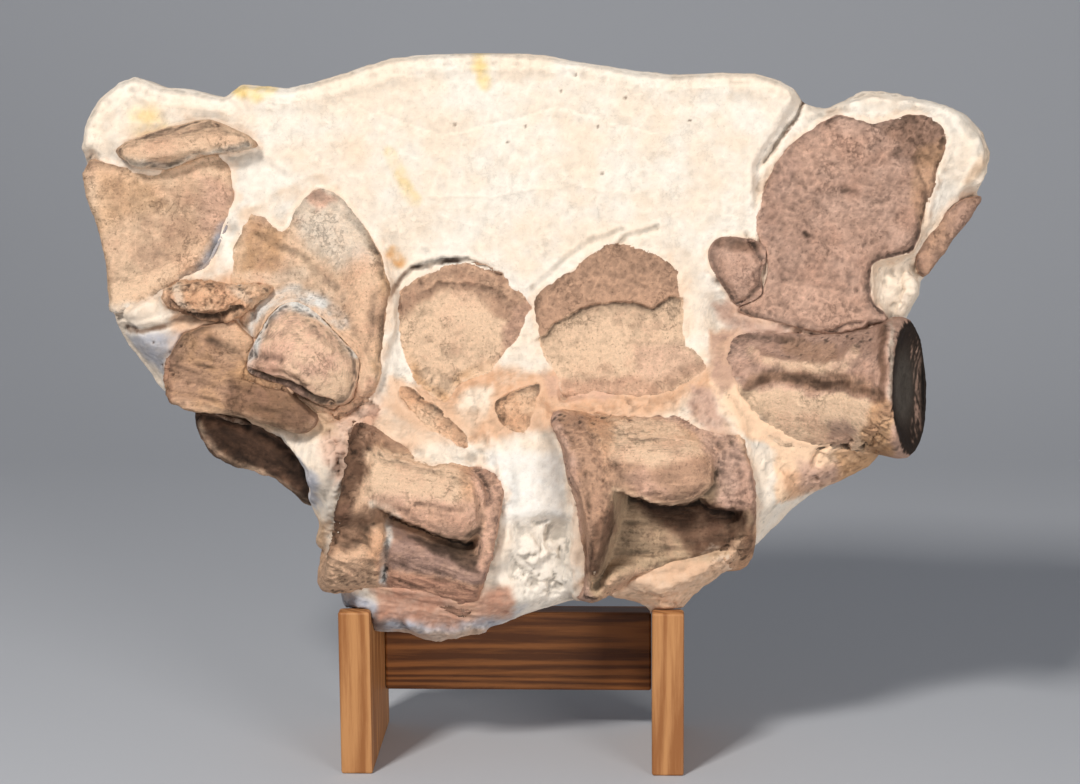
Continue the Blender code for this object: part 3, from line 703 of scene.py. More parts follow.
def lines_and_ledges(points, x, y, facing):
    """Cracks, ridges and steps."""
    move = np.zeros(len(points))
    uneven = 0.75 + 0.6 * noise(points, 8, 41)
    for line, width, height in LINES:
        move += facing * height * uneven * share_along(x, y, line, 1.6 * width, 1)
    for line, height, reach in STEPS:
        some = near_box(x, y, line, reach)
        side = side_distance(x[some], y[some], line)
        ledge = smooth(side / 1.2 + 0.5) * smooth(1 - np.abs(side) / reach)
        move[some] += facing[some] * height * ledge * tip_fade(x[some], y[some], line)
    return move


def broken_ground(points, x, y, facing):
    """Crumbs and patches of broken limestone."""
    move = np.zeros(len(points))
    for number, (outline, height, size) in enumerate(CRUMBS):
        inside = share_inside(x, y, outline, 6, 0.3) * smooth(facing + 0.4)
        some = inside > 0.01
        if some.any():
            lump, top = crumbs(points[some], size, 50 + 7 * number)
            move[some] += inside[some] * height * (0.35 * lump - 0.5 + 0.55 * top)
    for number, (outline, height, size) in enumerate(BROKEN):
        inside = share_inside(x, y, outline, 14, 0.2) * facing
        some = inside > 0.01
        if some.any():
            move[some] += inside[some] * height * 0.5 * broken(points[some], size, 90 + 5 * number)
    return move


def grain_and_striae(points, x, y, facing):
    """The fine grain, and the long ribs of the bones' flanks."""
    move = np.zeros(len(points))
    for outline, height in GRAIN:
        move += facing * height * share_inside(x, y, outline, 6) * ridged(points, 3.6, 2, 61)
    for outline, angle, height in STRIAE:
        turn = math.radians(angle)
        along = points[:, 0] * math.cos(turn) + points[:, 1] * math.sin(turn)
        across = points[:, 1] * math.cos(turn) - points[:, 0] * math.sin(turn)
        ribs = np.stack([along / 7, across, points[:, 2] / 3], axis=1)
        move += facing * height * share_inside(x, y, outline, 8, 0.3) * ridged(ribs, 4.2, 2, 65)
    return move


def pit_distance(points, pit):
    return np.hypot(points[:, 0] - pit[0], points[:, 1] - pit[1])


def fine_relief(points, facing):
    """Cracks, ridges, ledges, crumbs, grain, striae and pits: how far each point moves out."""
    x = points[:, 0] + RELIEF_SWAY * fractal(points, 10, 4, 21, 0.65)
    y = points[:, 1] + RELIEF_SWAY * fractal(points, 10, 4, 25, 0.65)
    move = lines_and_ledges(points, x, y, facing)
    move += broken_ground(points, x, y, facing)
    move += grain_and_striae(points, x, y, facing)
    for pit in PITS:
        move -= facing * PIT_DEPTH * smooth(1.6 - pit_distance(points, pit) / PIT_RADIUS)
    return move


# The two colours that each piece has in soft blotches.
BASES = {
    "matrix": (CREAM, WARM_CREAM),
    "rib_fragment": (TAN, LIGHT_TAN),
    "v1_neural_spine": (TAN, LIGHT_TAN),
    "v1_neural_arch": (LIGHT_TAN, TAN),
    "v1_fragment": (LIGHT_TAN, ORANGE_TAN),
    "v1_transverse_process": (PINK_BROWN, LIGHT_TAN),
    "v1_centrum": (OCHRE, BROWN),
    # The first centrum's underside faces down into shade: its near black colours are painted shadow.
    "v1_centrum_underside": (DARK_BROWN, SHADOW_UMBER),
    "v2_neural_spine": (BRIGHT_TAN, LIGHT_TAN),
    "v2_arch_strip": (ORANGE_TAN, LIGHT_TAN),
    "v2_v3_zygapophysis": (ORANGE_TAN, LIGHT_TAN),
    "v2_centrum": (TAN, ORANGE_TAN),
    "v3_neural_spine": (BRIGHT_TAN, LIGHT_TAN),
    "v3_centrum": (TAN, ORANGE_TAN),
    "v4_neural_spine": (MAUVE, DUSK),
    "v4_zygapophysis": (DUSK, MAUVE),
    "v4_centrum": (DUSK, MAUVE),
    "edge_bone": (DUSK, BROWN),
}
# Areas of other colours: the outline, its colour, its softness and its strength.
AREAS = {
    "matrix": [
        (LEFT_CRUMBS, PINK_BROWN, 8, 0.7),
        ([(-104, 134), (-70, 146), (-36, 158), (0, 152), (10, 158), (30, 144), (108, 158),
          (112, 142), (66, 126), (20, 122), (-40, 108)], ORANGE_TAN, 9, 0.85),
        ([(0, 152), (30, 152), (60, 146), (40, 136), (6, 138)], PINK_BROWN, 6, 0.7),
        ([(-104, 150), (-82, 142), (-60, 120), (-84, 120), (-104, 134)], CREAM, 8, 0.8),
        ([(-46, 142), (-30, 144), (-32, 126), (-46, 112), (-54, 122)], WARM_CREAM, 6, 0.9),
        # Painted shade: cool blue-grey on the block's lower edge below the second centrum.
        ([(-150, 60), (-128, 20), (-92, 4), (-60, -2), (-20, 0), (-8, 8), (-30, -14), (-84, -18),
          (-130, -4)], SHADE_BLUE_GREY, 8, 0.85),
        ([(-94, -12), (-64, -8), (-30, -8), (-44, -22), (-80, -22)], TAN, 5, 0.7),
        ([(-102, 4), (-92, 10), (-96, -14), (-108, -12)], DARK_BROWN, 5, 0.5),
        (C3_HOLLOW, OLIVE, 5, 0.95),
        ([(20, 20), (64, 6), (94, 0), (118, 18), (122, 40), (90, 38), (40, 34)], TAN, 7, 0.9),
        ([(106, 180), (106, 146), (114, 132), (134, 112), (146, 104), (146, 76), (154, 76),
          (186, 84), (214, 100), (220, 130), (180, 130), (140, 150), (124, 180)], BRIGHT_TAN, 5, 1.2),
        ([(106, 180), (106, 150), (112, 140), (124, 146), (124, 180)], DUSK, 6, 0.9),
        ([(150, 92), (170, 96), (190, 98), (206, 100), (190, 84), (156, 76)], ORANGE_TAN, 7, 0.8),
        ([(160, 100), (186, 98), (186, 84), (164, 78)], MAUVE, 9, 0.9),
        ([(184, 108), (214, 112), (214, 90), (190, 76)], OCHRE, 7, 0.9),
        (RIGHT_CORNER, WARM_CREAM, 8, 0.9),
        ([(93, 144), (107, 142), (123, 118), (130, 94), (122, 87), (109, 112),
          (94, 131)], MAUVE, 5, 0.9),
        ([(-93, 151), (-56, 136), (-43, 117), (-68, 116), (-100, 132)], TAN, 7, 0.8),
        ([(-236, 208), (-180, 214), (-130, 202), (-106, 150), (-130, 116), (-200, 120),
          (-226, 160)], TAN, 8, 0.85),
        ([(108, 196), (124, 206), (206, 200), (214, 184), (196, 176), (124, 176)], MAUVE, 7, 0.9),
        ([(-102, 100), (-60, 108), (-20, 120), (-24, 132), (-60, 128), (-90, 134),
          (-108, 120)], TAN, 9, 0.6),
        ([(-160, 40), (-150, 66), (-134, 56), (-130, 24), (-150, 10)], OCHRE, 8, 0.6),
        ([(-104, 26), (-60, 20), (-14, 16), (-18, 0), (-50, -6), (-100, -4)], RED_BROWN, 8, 0.9),
        ([(112, 140), (124, 126), (138, 100), (146, 70), (124, 30), (128, 80)], WARM_CREAM, 8, 0.6),
        # Painted shade: cool blue-grey on the limestone under the fragment and beside the first centrum's
        # underside.
        ([(-262, 176), (-236, 178), (-220, 174), (-224, 132), (-246, 156)], SHADE_BLUE_GREY, 8, 0.75),
        ([(-150, 100), (-136, 84), (-140, 66), (-160, 76), (-184, 94),
          (-160, 100)], SHADE_BLUE_GREY, 7, 0.75),
        ([(-190, 146), (-156, 137), (-134, 129), (-124, 116), (-150, 112), (-190, 124)], OLIVE, 8, 0.7),
        ([(-200, 290), (-110, 300), (-96, 240), (-124, 262), (-180, 286)], LIGHT_TAN, 14, 0.25),
        (LOWER_CORRIDOR, CREAM, 10, 0.85),
        ([(-32, 104), (14, 104), (16, 60), (-22, 62)], CHALK, 10, 0.8),
    ],
    "v1_neural_spine": [
        ([(-212, 276), (-190, 268), (-196, 236), (-214, 240)], PINK_BROWN, 14, 0.7),
        ([(-268, 226), (-240, 232), (-222, 206), (-240, 194), (-268, 196)], LIGHT_TAN, 14, 0.8),
        ([(-276, 276), (-240, 272), (-236, 256), (-276, 240)], OCHRE, 14, 0.5),
    ],
    "v1_neural_arch": [
        ([(-183, 250), (-160, 236), (-163, 216), (-190, 214)], OCHRE, 8, 0.75),
        ([(-164, 258), (-138, 280), (-108, 252), (-104, 224), (-126, 216),
          (-150, 236)], WARM_CREAM, 12, 0.85),
        ([(-152, 262), (-140, 268), (-128, 262), (-142, 254)], PINK_BROWN, 5, 0.8),
    ],
    "v1_transverse_process": [
        # Painted shade on the process's overhanging lower edge.
        ([(-182, 152), (-150, 148), (-140, 136), (-156, 136), (-184, 144)], PLUM, 5, 0.6),
    ],
    "v1_centrum": [
        # Painted shadow cast by the transverse process on the centrum below it.
        ([(-190, 150), (-150, 140), (-136, 128), (-150, 112), (-190, 128)], DARK_BROWN, 8, 0.6),
        ([(-204, 186), (-176, 182), (-176, 160), (-198, 160)], TAN, 8, 0.7),
    ],
    "v2_neural_spine": [
        ([(-94, 190), (-88, 208), (-66, 222), (-45, 226), (-22, 218), (0, 196), (-14, 164),
          (-28, 158), (-22, 186), (-44, 204), (-64, 204), (-82, 188)], BROWN, 7, 0.85),
        ([(-14, 164), (-4, 190), (-10, 196), (-24, 184), (-26, 166)], PINK_BROWN, 6, 0.6),
    ],
    "v2_centrum": [
        ([(-46, 128), (-24, 122), (-12, 74), (-26, 20), (-40, 24), (-34, 60),
          (-40, 96)], PINK_BROWN, 7, 0.9),
        ([(-118, 132), (-96, 122), (-106, 86), (-116, 62), (-148, 30), (-156, 60),
          (-136, 110)], DARK_BROWN, 9, 0.95),
        ([(-110, 122), (-60, 110), (-40, 110), (-46, 102), (-92, 106), (-110, 112)], BROWN, 6, 0.8),
        ([(-104, 106), (-50, 100), (-44, 72), (-104, 74)], BRIGHT_TAN, 10, 1),
        (C2_LOBE, PINK_BROWN, 8, 0.75),
        ([(-140, 52), (-136, 68), (-122, 60), (-104, 70), (-99, 62), (-110, 46), (-122, 44),
          (-130, 36)], DARK_BROWN, 10, 0.6),
        ([(-92, 58), (-70, 50), (-40, 38), (-20, 24), (-30, 20), (-60, 26), (-94, 32)], PLUM, 7, 0.95),
        ([(-96, 32), (-60, 26), (-18, 14), (-20, 0), (-70, 0), (-100, 8)], RED_BROWN, 6, 0.9),
        ([(-142, 40), (-120, 44), (-98, 36), (-97, 8), (-120, 4), (-142, 20)], TAN, 7, 0.8),
        # Painted shadow under the second centrum's lobe.
        ([(-60, 50), (-40, 46), (-34, 30), (-50, 38), (-80, 50)], SHADOW_UMBER, 5, 0.7),
    ],
    "v3_neural_spine": [
        ([(10, 150), (30, 150), (56, 152), (74, 148), (84, 136), (8, 130)], RED_BROWN, 7, 0.5),
        ([(60, 170), (90, 172), (104, 156), (80, 146), (60, 152)], PINK_BROWN, 8, 0.5),
    ],
    "v3_centrum": [
        ([(-4, 136), (10, 136), (24, 106), (30, 70), (31, 26), (36, 10), (18, 8), (18, 60),
          (10, 110)], MAUVE, 4, 0.95),
        ([(12, 130), (30, 126), (40, 104), (47, 84), (40, 64), (30, 24), (27, 60),
          (24, 96)], BROWN, 6, 0.9),
        ([(80, 150), (108, 140), (138, 92), (134, 60), (112, 72), (108, 96), (98, 118),
          (78, 128)], MAUVE, 8, 0.8),
        ([(126, 90), (134, 80), (134, 40), (120, 40), (118, 70)], DARK_BROWN, 5, 0.6),
        ([(52, 124), (70, 132), (88, 134), (88, 122), (66, 118)], PLUM, 6, 0.55),
        (C3_HOLLOW, OLIVE, 6, 0.95),
        # Painted shadow under the third centrum's lobe.
        ([(52, 80), (70, 74), (100, 74), (126, 78), (130, 58), (118, 44), (100, 38), (84, 52),
          (66, 66)], DARK_BROWN, 8, 0.9),
        # Painted shadow beside the third centrum's left flange.
        ([(34, 60), (46, 74), (48, 60), (36, 28), (28, 30)], DARK_BROWN, 5, 0.75),
        ([(109, 98), (112, 72), (124, 68), (136, 74), (134, 96), (124, 110)], MAUVE, 5, 1),
        (C3_LOBE, BROWN, 9, 1),
        ([(54, 90), (66, 98), (80, 82), (62, 80)], PINK_BROWN, 9, 0.8),
        ([(46, 126), (84, 126), (102, 106), (74, 98), (46, 102)], BRIGHT_TAN, 10, 1),
        ([(42, 27), (63, 34), (88, 34), (113, 44), (126, 52), (123, 30), (98, 10), (60, 6),
          (40, 10)], TAN, 7, 0.9),
    ],
    "v4_neural_spine": [
        ([(212, 306), (232, 316), (254, 306), (252, 282), (234, 284), (222, 292)], DARK_BROWN, 8, 0.5),
        ([(234, 296), (250, 300), (246, 262), (236, 240), (230, 260)], OCHRE, 6, 0.5),
        ([(130, 208), (150, 212), (190, 206), (206, 200), (190, 184), (128, 190)], PINK_BROWN, 9, 0.5),
        ([(150, 290), (180, 306), (206, 300), (196, 280), (160, 276)], PINK_BROWN, 10, 0.4),
    ],
    "v4_centrum": [
        ([(112, 146), (130, 142), (160, 142), (200, 140), (216, 124), (206, 100), (160, 80),
          (114, 96)], BRIGHT_TAN, 8, 1.7),
        ([(114, 144), (136, 142), (140, 120), (124, 112)], OLIVE, 12, 0.25),
        ([(176, 124), (186, 126), (196, 120), (191, 110), (178, 112)], PLUM, 5, 0.6),
        ([(206, 146), (216, 130), (216, 100), (200, 96), (198, 120)], OCHRE, 6, 0.85),
        ([(150, 176), (160, 177), (182, 172), (184, 163), (165, 162), (152, 166)], BROWN, 5, 0.8),
        ([(130, 154), (160, 156), (200, 154), (208, 142), (180, 144), (150, 146),
          (128, 144)], BROWN, 6, 0.9),
    ],
}
# Painted lines: the line, its colour, its width and its strength.
STROKES = {
    "matrix": [
        ([(-36, 354), (-36, 332)], STAIN, 5, 0.7),
        ([(-40, 352), (-41, 342)], STAIN, 4, 0.6),
        ([(-94, 288), (-88, 274), (-80, 260)], STAIN, 5, 0.6),
        ([(-92, 226), (-88, 221)], RUST, 5, 0.85),
        ([(-190, 330), (-180, 326), (-170, 329)], STAIN, 6, 0.8),
        ([(-248, 310), (-240, 300)], STAIN, 12, 0.6),
        (CHALK_EDGE, CHALK, 6, 1),
        # Painted shadow in the undercut crack over the second spine.
        (N2_CRACK[2:5], SHADOW_UMBER, 1.8, 0.95),
        (N2_CRACK[:3], DARK_BROWN, 1.6, 0.6),
        # Painted shadow under the slab's broken edge beside the fourth spine.
        ([(166, 330), (159, 313), (148, 298), (139, 286)], DARK_BROWN, 1.4, 0.9),
        ([(-186, 250), (-160, 262), (-138, 272)], OCHRE, 5, 0.35),
        # Painted shadow under the first vertebra's loose fragment.
        ([(-260, 179), (-250, 178), (-235, 181), (-222, 186)], DARK_BROWN, 2.2, 0.7),
        ([(-106, 150), (-100, 134), (-112, 112)], RED_BROWN, 4, 0.6),
        ([(264, 272), (276, 290), (278, 306)], OCHRE, 4, 0.4),
    ],
    "rib_fragment": [
        ([(-256, 282), (-231, 279), (-209, 285), (-182, 292)], WARM_CREAM, 4, 0.9),
        ([(-250, 290), (-225, 292), (-196, 298)], TAN, 4, 0.5),
    ],
    "v1_neural_spine": [
        # Painted shade along the first spine's hollow fold.
        ([(-221, 208), (-208, 219), (-197, 240)], SHADE_BLUE_GREY, 7, 0.75),
        ([(-272, 190), (-250, 190), (-234, 198)], CREAM, 6, 0.8),
        ([(-274, 200), (-280, 240)], OCHRE, 6, 0.3),
    ],
    "v1_neural_arch": [
        (CHALK_EDGE, CHALK, 6, 0.9),
        ([(-98, 222), (-94, 195), (-100, 158)], OCHRE, 6, 0.65),
        ([(-104, 146), (-108, 136), (-118, 124)], RED_BROWN, 5, 0.7),
        ([(-180, 210), (-150, 214), (-126, 200)], WARM_CREAM, 7, 0.35),
    ],
    "v1_fragment": [
        ([(-226, 206), (-222, 196), (-214, 188)], WARM_CREAM, 3, 0.6),
        ([(-190, 204), (-180, 198)], WARM_CREAM, 4, 0.6),
        # Painted shadow along the fragment's lower edge.
        ([(-232, 189), (-197, 186)], DARK_BROWN, 3, 0.6),
    ],
    "v1_transverse_process": [
        ([(-181, 156), (-178, 172), (-168, 188), (-154, 197), (-140, 192)], CHALK, 6, 1),
        ([(-138, 190), (-124, 178), (-114, 164)], CHALK, 3, 0.7),
        # Painted shade along the process's overhanging lower edge.
        ([(-172, 157), (-154, 154), (-142, 147)], DARK_BROWN, 2, 0.7),
    ],
    "v1_centrum": [
        ([(-236, 158), (-230, 134)], RED_BROWN, 5, 0.5),
        ([(-226, 132), (-186, 126), (-150, 114)], LIGHT_TAN, 4, 0.45),
    ],
    "v1_centrum_underside": [
        ([(-214, 118), (-207, 101), (-190, 92), (-160, 78), (-146, 67)], LIGHT_TAN, 4, 0.9),
    ],
    "v2_neural_spine": [
        ([(-59, 133), (-78, 147), (-86, 164)], OCHRE, 6, 0.7),
        ([(-50, 148), (-32, 156)], OCHRE, 5, 0.6),
    ],
    "v2_centrum": [
        ([(-94, 107), (-79, 102), (-63, 98), (-44, 98)], DARK_BROWN, 3, 0.6),
        ([(-92, 65), (-92, 52), (-93, 40), (-96, 22)], CHALK, 2.6, 0.9),
        ([(-100, 72), (-92, 70), (-86, 64)], WARM_CREAM, 3, 0.8),
        ([(-112, 104), (-118, 90), (-126, 72)], DARK_BROWN, 4, 0.6),
        # Painted shadow along the underside of the second centrum's lobe.
        (C2_LOBE_EDGE, SHADOW_UMBER, 2.4, 0.5),
    ],
    "v3_neural_spine": [
        ([(72, 142), (86, 150), (104, 158)], BROWN, 6, 0.6),
    ],
    "v3_centrum": [
        (C3_LOBE_EDGE[:7], LIGHT_TAN, 2, 0.7),
    ],
    "v4_neural_spine": [
        # Painted shade in the small hole of the fourth spine's scar.
        (N4_SCAR, SHADOW_UMBER, 1.8, 0.9),
        ([(140, 240), (146, 262), (156, 284)], PLUM, 6, 0.4),
    ],
    "v4_zygapophysis": [
        ([(112, 234), (134, 232)], DARK_BROWN, 4, 0.5),
    ],
    "v4_centrum": [
        # Painted highlight along the crest of the fourth centrum's ridge.
        ([(132, 167), (142, 161), (153, 159), (172, 158), (185, 159),
          (193, 168)], LIGHT_TAN, 4.5, 0.75),
        (C4_GROOVE, DARK_BROWN, 3.4, 0.75),
        ([(159, 181), (171, 180), (181, 181), (188, 185), (199, 187)], DARK_BROWN, 1.6, 0.8),
        ([(211, 190), (209, 170), (208, 140)], DARK_BROWN, 2.4, 0.7),
        ([(216, 188), (214, 165), (213, 140)], WARM_CREAM, 1.8, 0.7),
    ],
}
# How much loose limestone still clings to each piece's edge, and how rough its face is.
CLINGING = {
    "v1_transverse_process": 0.6, "v2_centrum": 0.5, "v4_neural_spine": 0.3, "v3_neural_spine": 0.5,
    "edge_bone": 0.1,
}
ROUGH = {"matrix": 0.5, "v4_neural_spine": 0.55, "v3_neural_spine": 0.5, "edge_bone": 0.9, "v1_fragment": 2.2}
# The direction of each bone's fine streaks in degrees, and how strong they are.
STREAKS = {
    "v1_centrum": (12, 0.22), "v2_centrum": (10, 0.12), "v3_centrum": (-8, 0.12), "v4_centrum": (-3, 0.12),
    "v1_neural_spine": (20, 0.1), "v1_neural_arch": (60, 0.12), "rib_fragment": (-15, 0.16),
}


def mixed(colour, other, share):
    return colour + (np.asarray(other, float) - colour) * np.clip(share, 0, 1)[:, None]


def shadowed_end_disc(points, colour, normals):
    """The fourth centrum's end, turned away from the light: painted shadow, near black round a grey hollow.
    """
    end = smooth((normals[:, 0] - 0.62) / 0.2) * smooth((points[:, 0] - DISC_START) / 8)
    end = np.maximum(end, smooth((points[:, 0] - points[:, 0].max() + 6) / 3))
    colour = mixed(colour, SHADOW_UMBER, 0.97 * end)
    up = (points[:, 1] - DISC_MIDDLE[0]) / DISC_HOLLOW[0]
    out = (points[:, 2] - DISC_MIDDLE[1]) / DISC_HOLLOW[1]
    return mixed(colour, SHADOW_GREY, 0.75 * end * smooth(1.5 - np.hypot(up, out)))


def areas_and_strokes(name, points, front):
    """A piece's two base colours in soft blotches, then its named areas and lines over them."""
    sway = [fractal(points, 15, 4, 31 + k, 0.65) for k in range(2)]
    first, second = BASES[name]
    blotch = smooth(0.5 + 1.3 * fractal(points, 26, 5, 33, 0.65))
    colour = mixed(np.tile(np.asarray(first, float), (len(points), 1)), second, blotch)
    speckle = 0.5 + 0.5 * fractal(points, 5, 4, 34, 0.7)
    x, y = points[:, 0] + AREA_SWAY * sway[0], points[:, 1] + AREA_SWAY * sway[1]
    for outline, other, softness, strength in AREAS.get(name, []):
        share = front * share_inside(x, y, outline, softness)
        colour = mixed(colour, other, share * strength * (0.6 + 0.8 * speckle))
    patchy = smooth(0.45 + 1.1 * fractal(points, 11, 3, 38, 0.65))
    x, y = points[:, 0] + STROKE_SWAY * sway[0], points[:, 1] + STROKE_SWAY * sway[1]
    for line, other, width, strength in STROKES.get(name, []):
        share = front * share_along(x, y, line, width)
        colour = mixed(colour, other, share * strength * (0.25 + 0.95 * patchy))
    return colour, x, y


def stone_marks(points, colour, edge, front):
    """The limestone's tan smear beside the bones, and its dark pits."""
    smear = smooth(0.9 - edge / 6 + 1.3 * fractal(points, 9, 4, 39, 0.65))
    colour = mixed(colour, TAN, 0.4 * smear)
    for pit in PITS:
        share = front * smooth(1.4 - pit_distance(points, pit) / PIT_STAIN)
        colour = mixed(colour, DARK_BROWN, 0.5 * share)
    return colour


def bone_marks(name, points, colour, edge):
    """A bone's red-brown blush, the limestone that clings to its edge, and its dark specks."""
    blush = smooth(0.1 + 1.5 * fractal(points, 19, 4, 43, 0.65))
    colour = mixed(colour, RED_BROWN, 0.3 * blush)
    ragged = smooth(0.5 - edge / 3.5 + 2.2 * fractal(points, 6, 4, 36, 0.65))
    colour = mixed(colour, WARM_CREAM, CLINGING.get(name, 0.35) * ragged)
    dark = smooth((fractal(points, 3.2, 3, 37, 0.7) - 0.3) / 0.2)
    return mixed(colour, DARK_BROWN, 0.13 * dark)


def shade_of(name, points, normals):
    """Darker in hollows as painted shade, and lighter on ridges as painted highlight and wear; on a bone
    uneven as well.
    """
    level = smooth((normals[:, 2] - 0.6) / 0.25)
    close = level * (points[:, 2] - levelled(points, level, 3))
    if name == "matrix":
        return 1 + STONE_CONTRAST * np.clip(close / 0.6, -2, 0.5)
    broad = level * (points[:, 2] - levelled(points, level, 12))
    shade = 1 + BONE_CONTRAST * np.clip(close / 0.6, -2, 0.5)
    shade += 0.5 * BONE_CONTRAST * np.clip(broad / 4, -1.5, 0.3)
    return shade + 0.07 * fractal(points, 2.6, 2, 35, 0.8) + 0.05 * ridged(points, 12, 4, 42)


def painted(name, points, normals, edge):
    """The colour of each point from 0 to 255, from named areas with ragged edges."""
    front = smooth((normals[:, 2] + 0.3) / 0.3) if name == "matrix" else 1
    colour, x, y = areas_and_strokes(name, points, front)
    if name == "matrix":
        colour = stone_marks(points, colour, edge, front)
    else:
        colour = bone_marks(name, points, colour, edge)
    if name == "v3_neural_spine":
        step = np.interp(x, [p[0] for p in N3_STEP], [p[1] for p in N3_STEP])
        colour = mixed(colour, BROWN, 0.95 * smooth((y - step) / 2.5 + 0.5))
    # Painted shadow on the fourth centrum's end face.
    if name == "v4_centrum":
        colour = shadowed_end_disc(points, colour, normals)
    colour = colour * shade_of(name, points, normals)[:, None]
    colour *= np.minimum(1, BRIGHTEST / colour.max(axis=1))[:, None]
    return np.maximum(colour, DARKEST)


def linear(colour):
    """Screen colour from 0 to 255 as linear light."""
    value = np.asarray(colour, float) / 255
    return np.where(value <= 0.04045, value / 12.92, ((value + 0.055) / 1.055) ** 2.4)


def paint_attribute(mesh, colour):
    values = np.ones((len(colour), 4))
    values[:, :3] = linear(colour)
    attribute = mesh.color_attributes.new("paint", "FLOAT_COLOR", "POINT")
    attribute.data.foreach_set("color", values.astype(np.float32).ravel())


def new_material(name):
    material = bpy.data.materials.new(name)
    material.use_nodes = True
    tree = material.node_tree
    return material, tree, tree.nodes["Principled BSDF"]


def noise_node(tree, vector, scale, detail, roughness=0.6):
    node = tree.nodes.new("ShaderNodeTexNoise")
    node.inputs["Scale"].default_value = scale
    node.inputs["Detail"].default_value = detail
    node.inputs["Roughness"].default_value = roughness
    tree.links.new(vector, node.inputs["Vector"])
    return node.outputs["Fac"]


def mapped(tree, vector, scale, turn=(0, 0, 0)):
    node = tree.nodes.new("ShaderNodeMapping")
    node.inputs["Scale"].default_value = scale
    node.inputs["Rotation"].default_value = turn
    tree.links.new(vector, node.inputs["Vector"])
    return node.outputs["Vector"]


def ranged(tree, value, low, high, start=0.3, end=0.7):
    node = tree.nodes.new("ShaderNodeMapRange")
    node.inputs["From Min"].default_value = start
    node.inputs["From Max"].default_value = end
    node.inputs["To Min"].default_value = low
    node.inputs["To Max"].default_value = high
    tree.links.new(value, node.inputs["Value"])
    return node.outputs["Result"]


def calculated(tree, operation, first, second):
    node = tree.nodes.new("ShaderNodeMath")
    node.operation = operation
    tree.links.new(first, node.inputs[0])
    if isinstance(second, (int, float)):
        node.inputs[1].default_value = second
    else:
        tree.links.new(second, node.inputs[1])
    return node.outputs["Value"]


def bumped(tree, shader, height, strength, distance):
    node = tree.nodes.new("ShaderNodeBump")
    node.inputs["Strength"].default_value = strength
    node.inputs["Distance"].default_value = distance
    tree.links.new(height, node.inputs["Height"])
    tree.links.new(node.outputs["Normal"], shader.inputs["Normal"])


def rock_material(name, angle, streak, contrast, bump):
    """Painted stone with fine grain, pits, hair cracks, faint streaks and a rough face."""
    material, tree, shader = new_material(name)
    shader.inputs["Specular IOR Level"].default_value = 0.2
    place = tree.nodes.new("ShaderNodeTexCoord").outputs["Object"]
    paint = tree.nodes.new("ShaderNodeVertexColor")
    paint.layer_name = "paint"
    grain = noise_node(tree, place, 460, 9, 0.75)
    sand = noise_node(tree, place, 1700, 3)
    streaks = noise_node(tree, mapped(tree, place, (0.16, 1, 1), (0, angle, 0)), 620, 4)
    veins = calculated(tree, "SUBTRACT", noise_node(tree, place, 46, 9, 0.7), 0.5)
    veins = calculated(tree, "ABSOLUTE", veins, 0)
    cracked = ranged(tree, noise_node(tree, place, 30, 3), 0, 1, 0.48, 0.6)
    crack = calculated(tree, "MULTIPLY", ranged(tree, veins, 1, 0, 0, 0.012), cracked)
    pits = ranged(tree, noise_node(tree, place, 780, 4, 0.6), 0, 1, 0.6, 0.68)
    tone = ranged(tree, grain, 1 - contrast, 1 + 0.3 * contrast)
    tone = calculated(tree, "MULTIPLY", tone, ranged(tree, sand, 1 - 0.7 * contrast, 1 + 0.2 * contrast))
    tone = calculated(tree, "MULTIPLY", tone, ranged(tree, streaks, 1 - streak, 1 + 0.2 * streak))
    tone = calculated(tree, "MULTIPLY", tone, ranged(tree, crack, 1, 1 - 1.8 * contrast, 0, 1))
    tone = calculated(tree, "MULTIPLY", tone, ranged(tree, pits, 1, 1 - 1.6 * contrast, 0, 1))
    tint = tree.nodes.new("ShaderNodeVectorMath")
    tint.operation = "SCALE"
    tree.links.new(paint.outputs["Color"], tint.inputs[0])
    tree.links.new(tone, tint.inputs["Scale"])
    tree.links.new(tint.outputs["Vector"], shader.inputs["Base Color"])
    tree.links.new(ranged(tree, grain, 0.7, 0.95), shader.inputs["Roughness"])
    height = calculated(tree, "ADD", grain, calculated(tree, "MULTIPLY", sand, 0.3))
    height = calculated(tree, "ADD", height, calculated(tree, "MULTIPLY", streaks, 3 * streak))
    height = calculated(tree, "SUBTRACT", height, calculated(tree, "MULTIPLY", crack, 0.5))
    height = calculated(tree, "SUBTRACT", height, calculated(tree, "MULTIPLY", pits, 0.35))
    bumped(tree, shader, height, bump, 0.002)
    return material


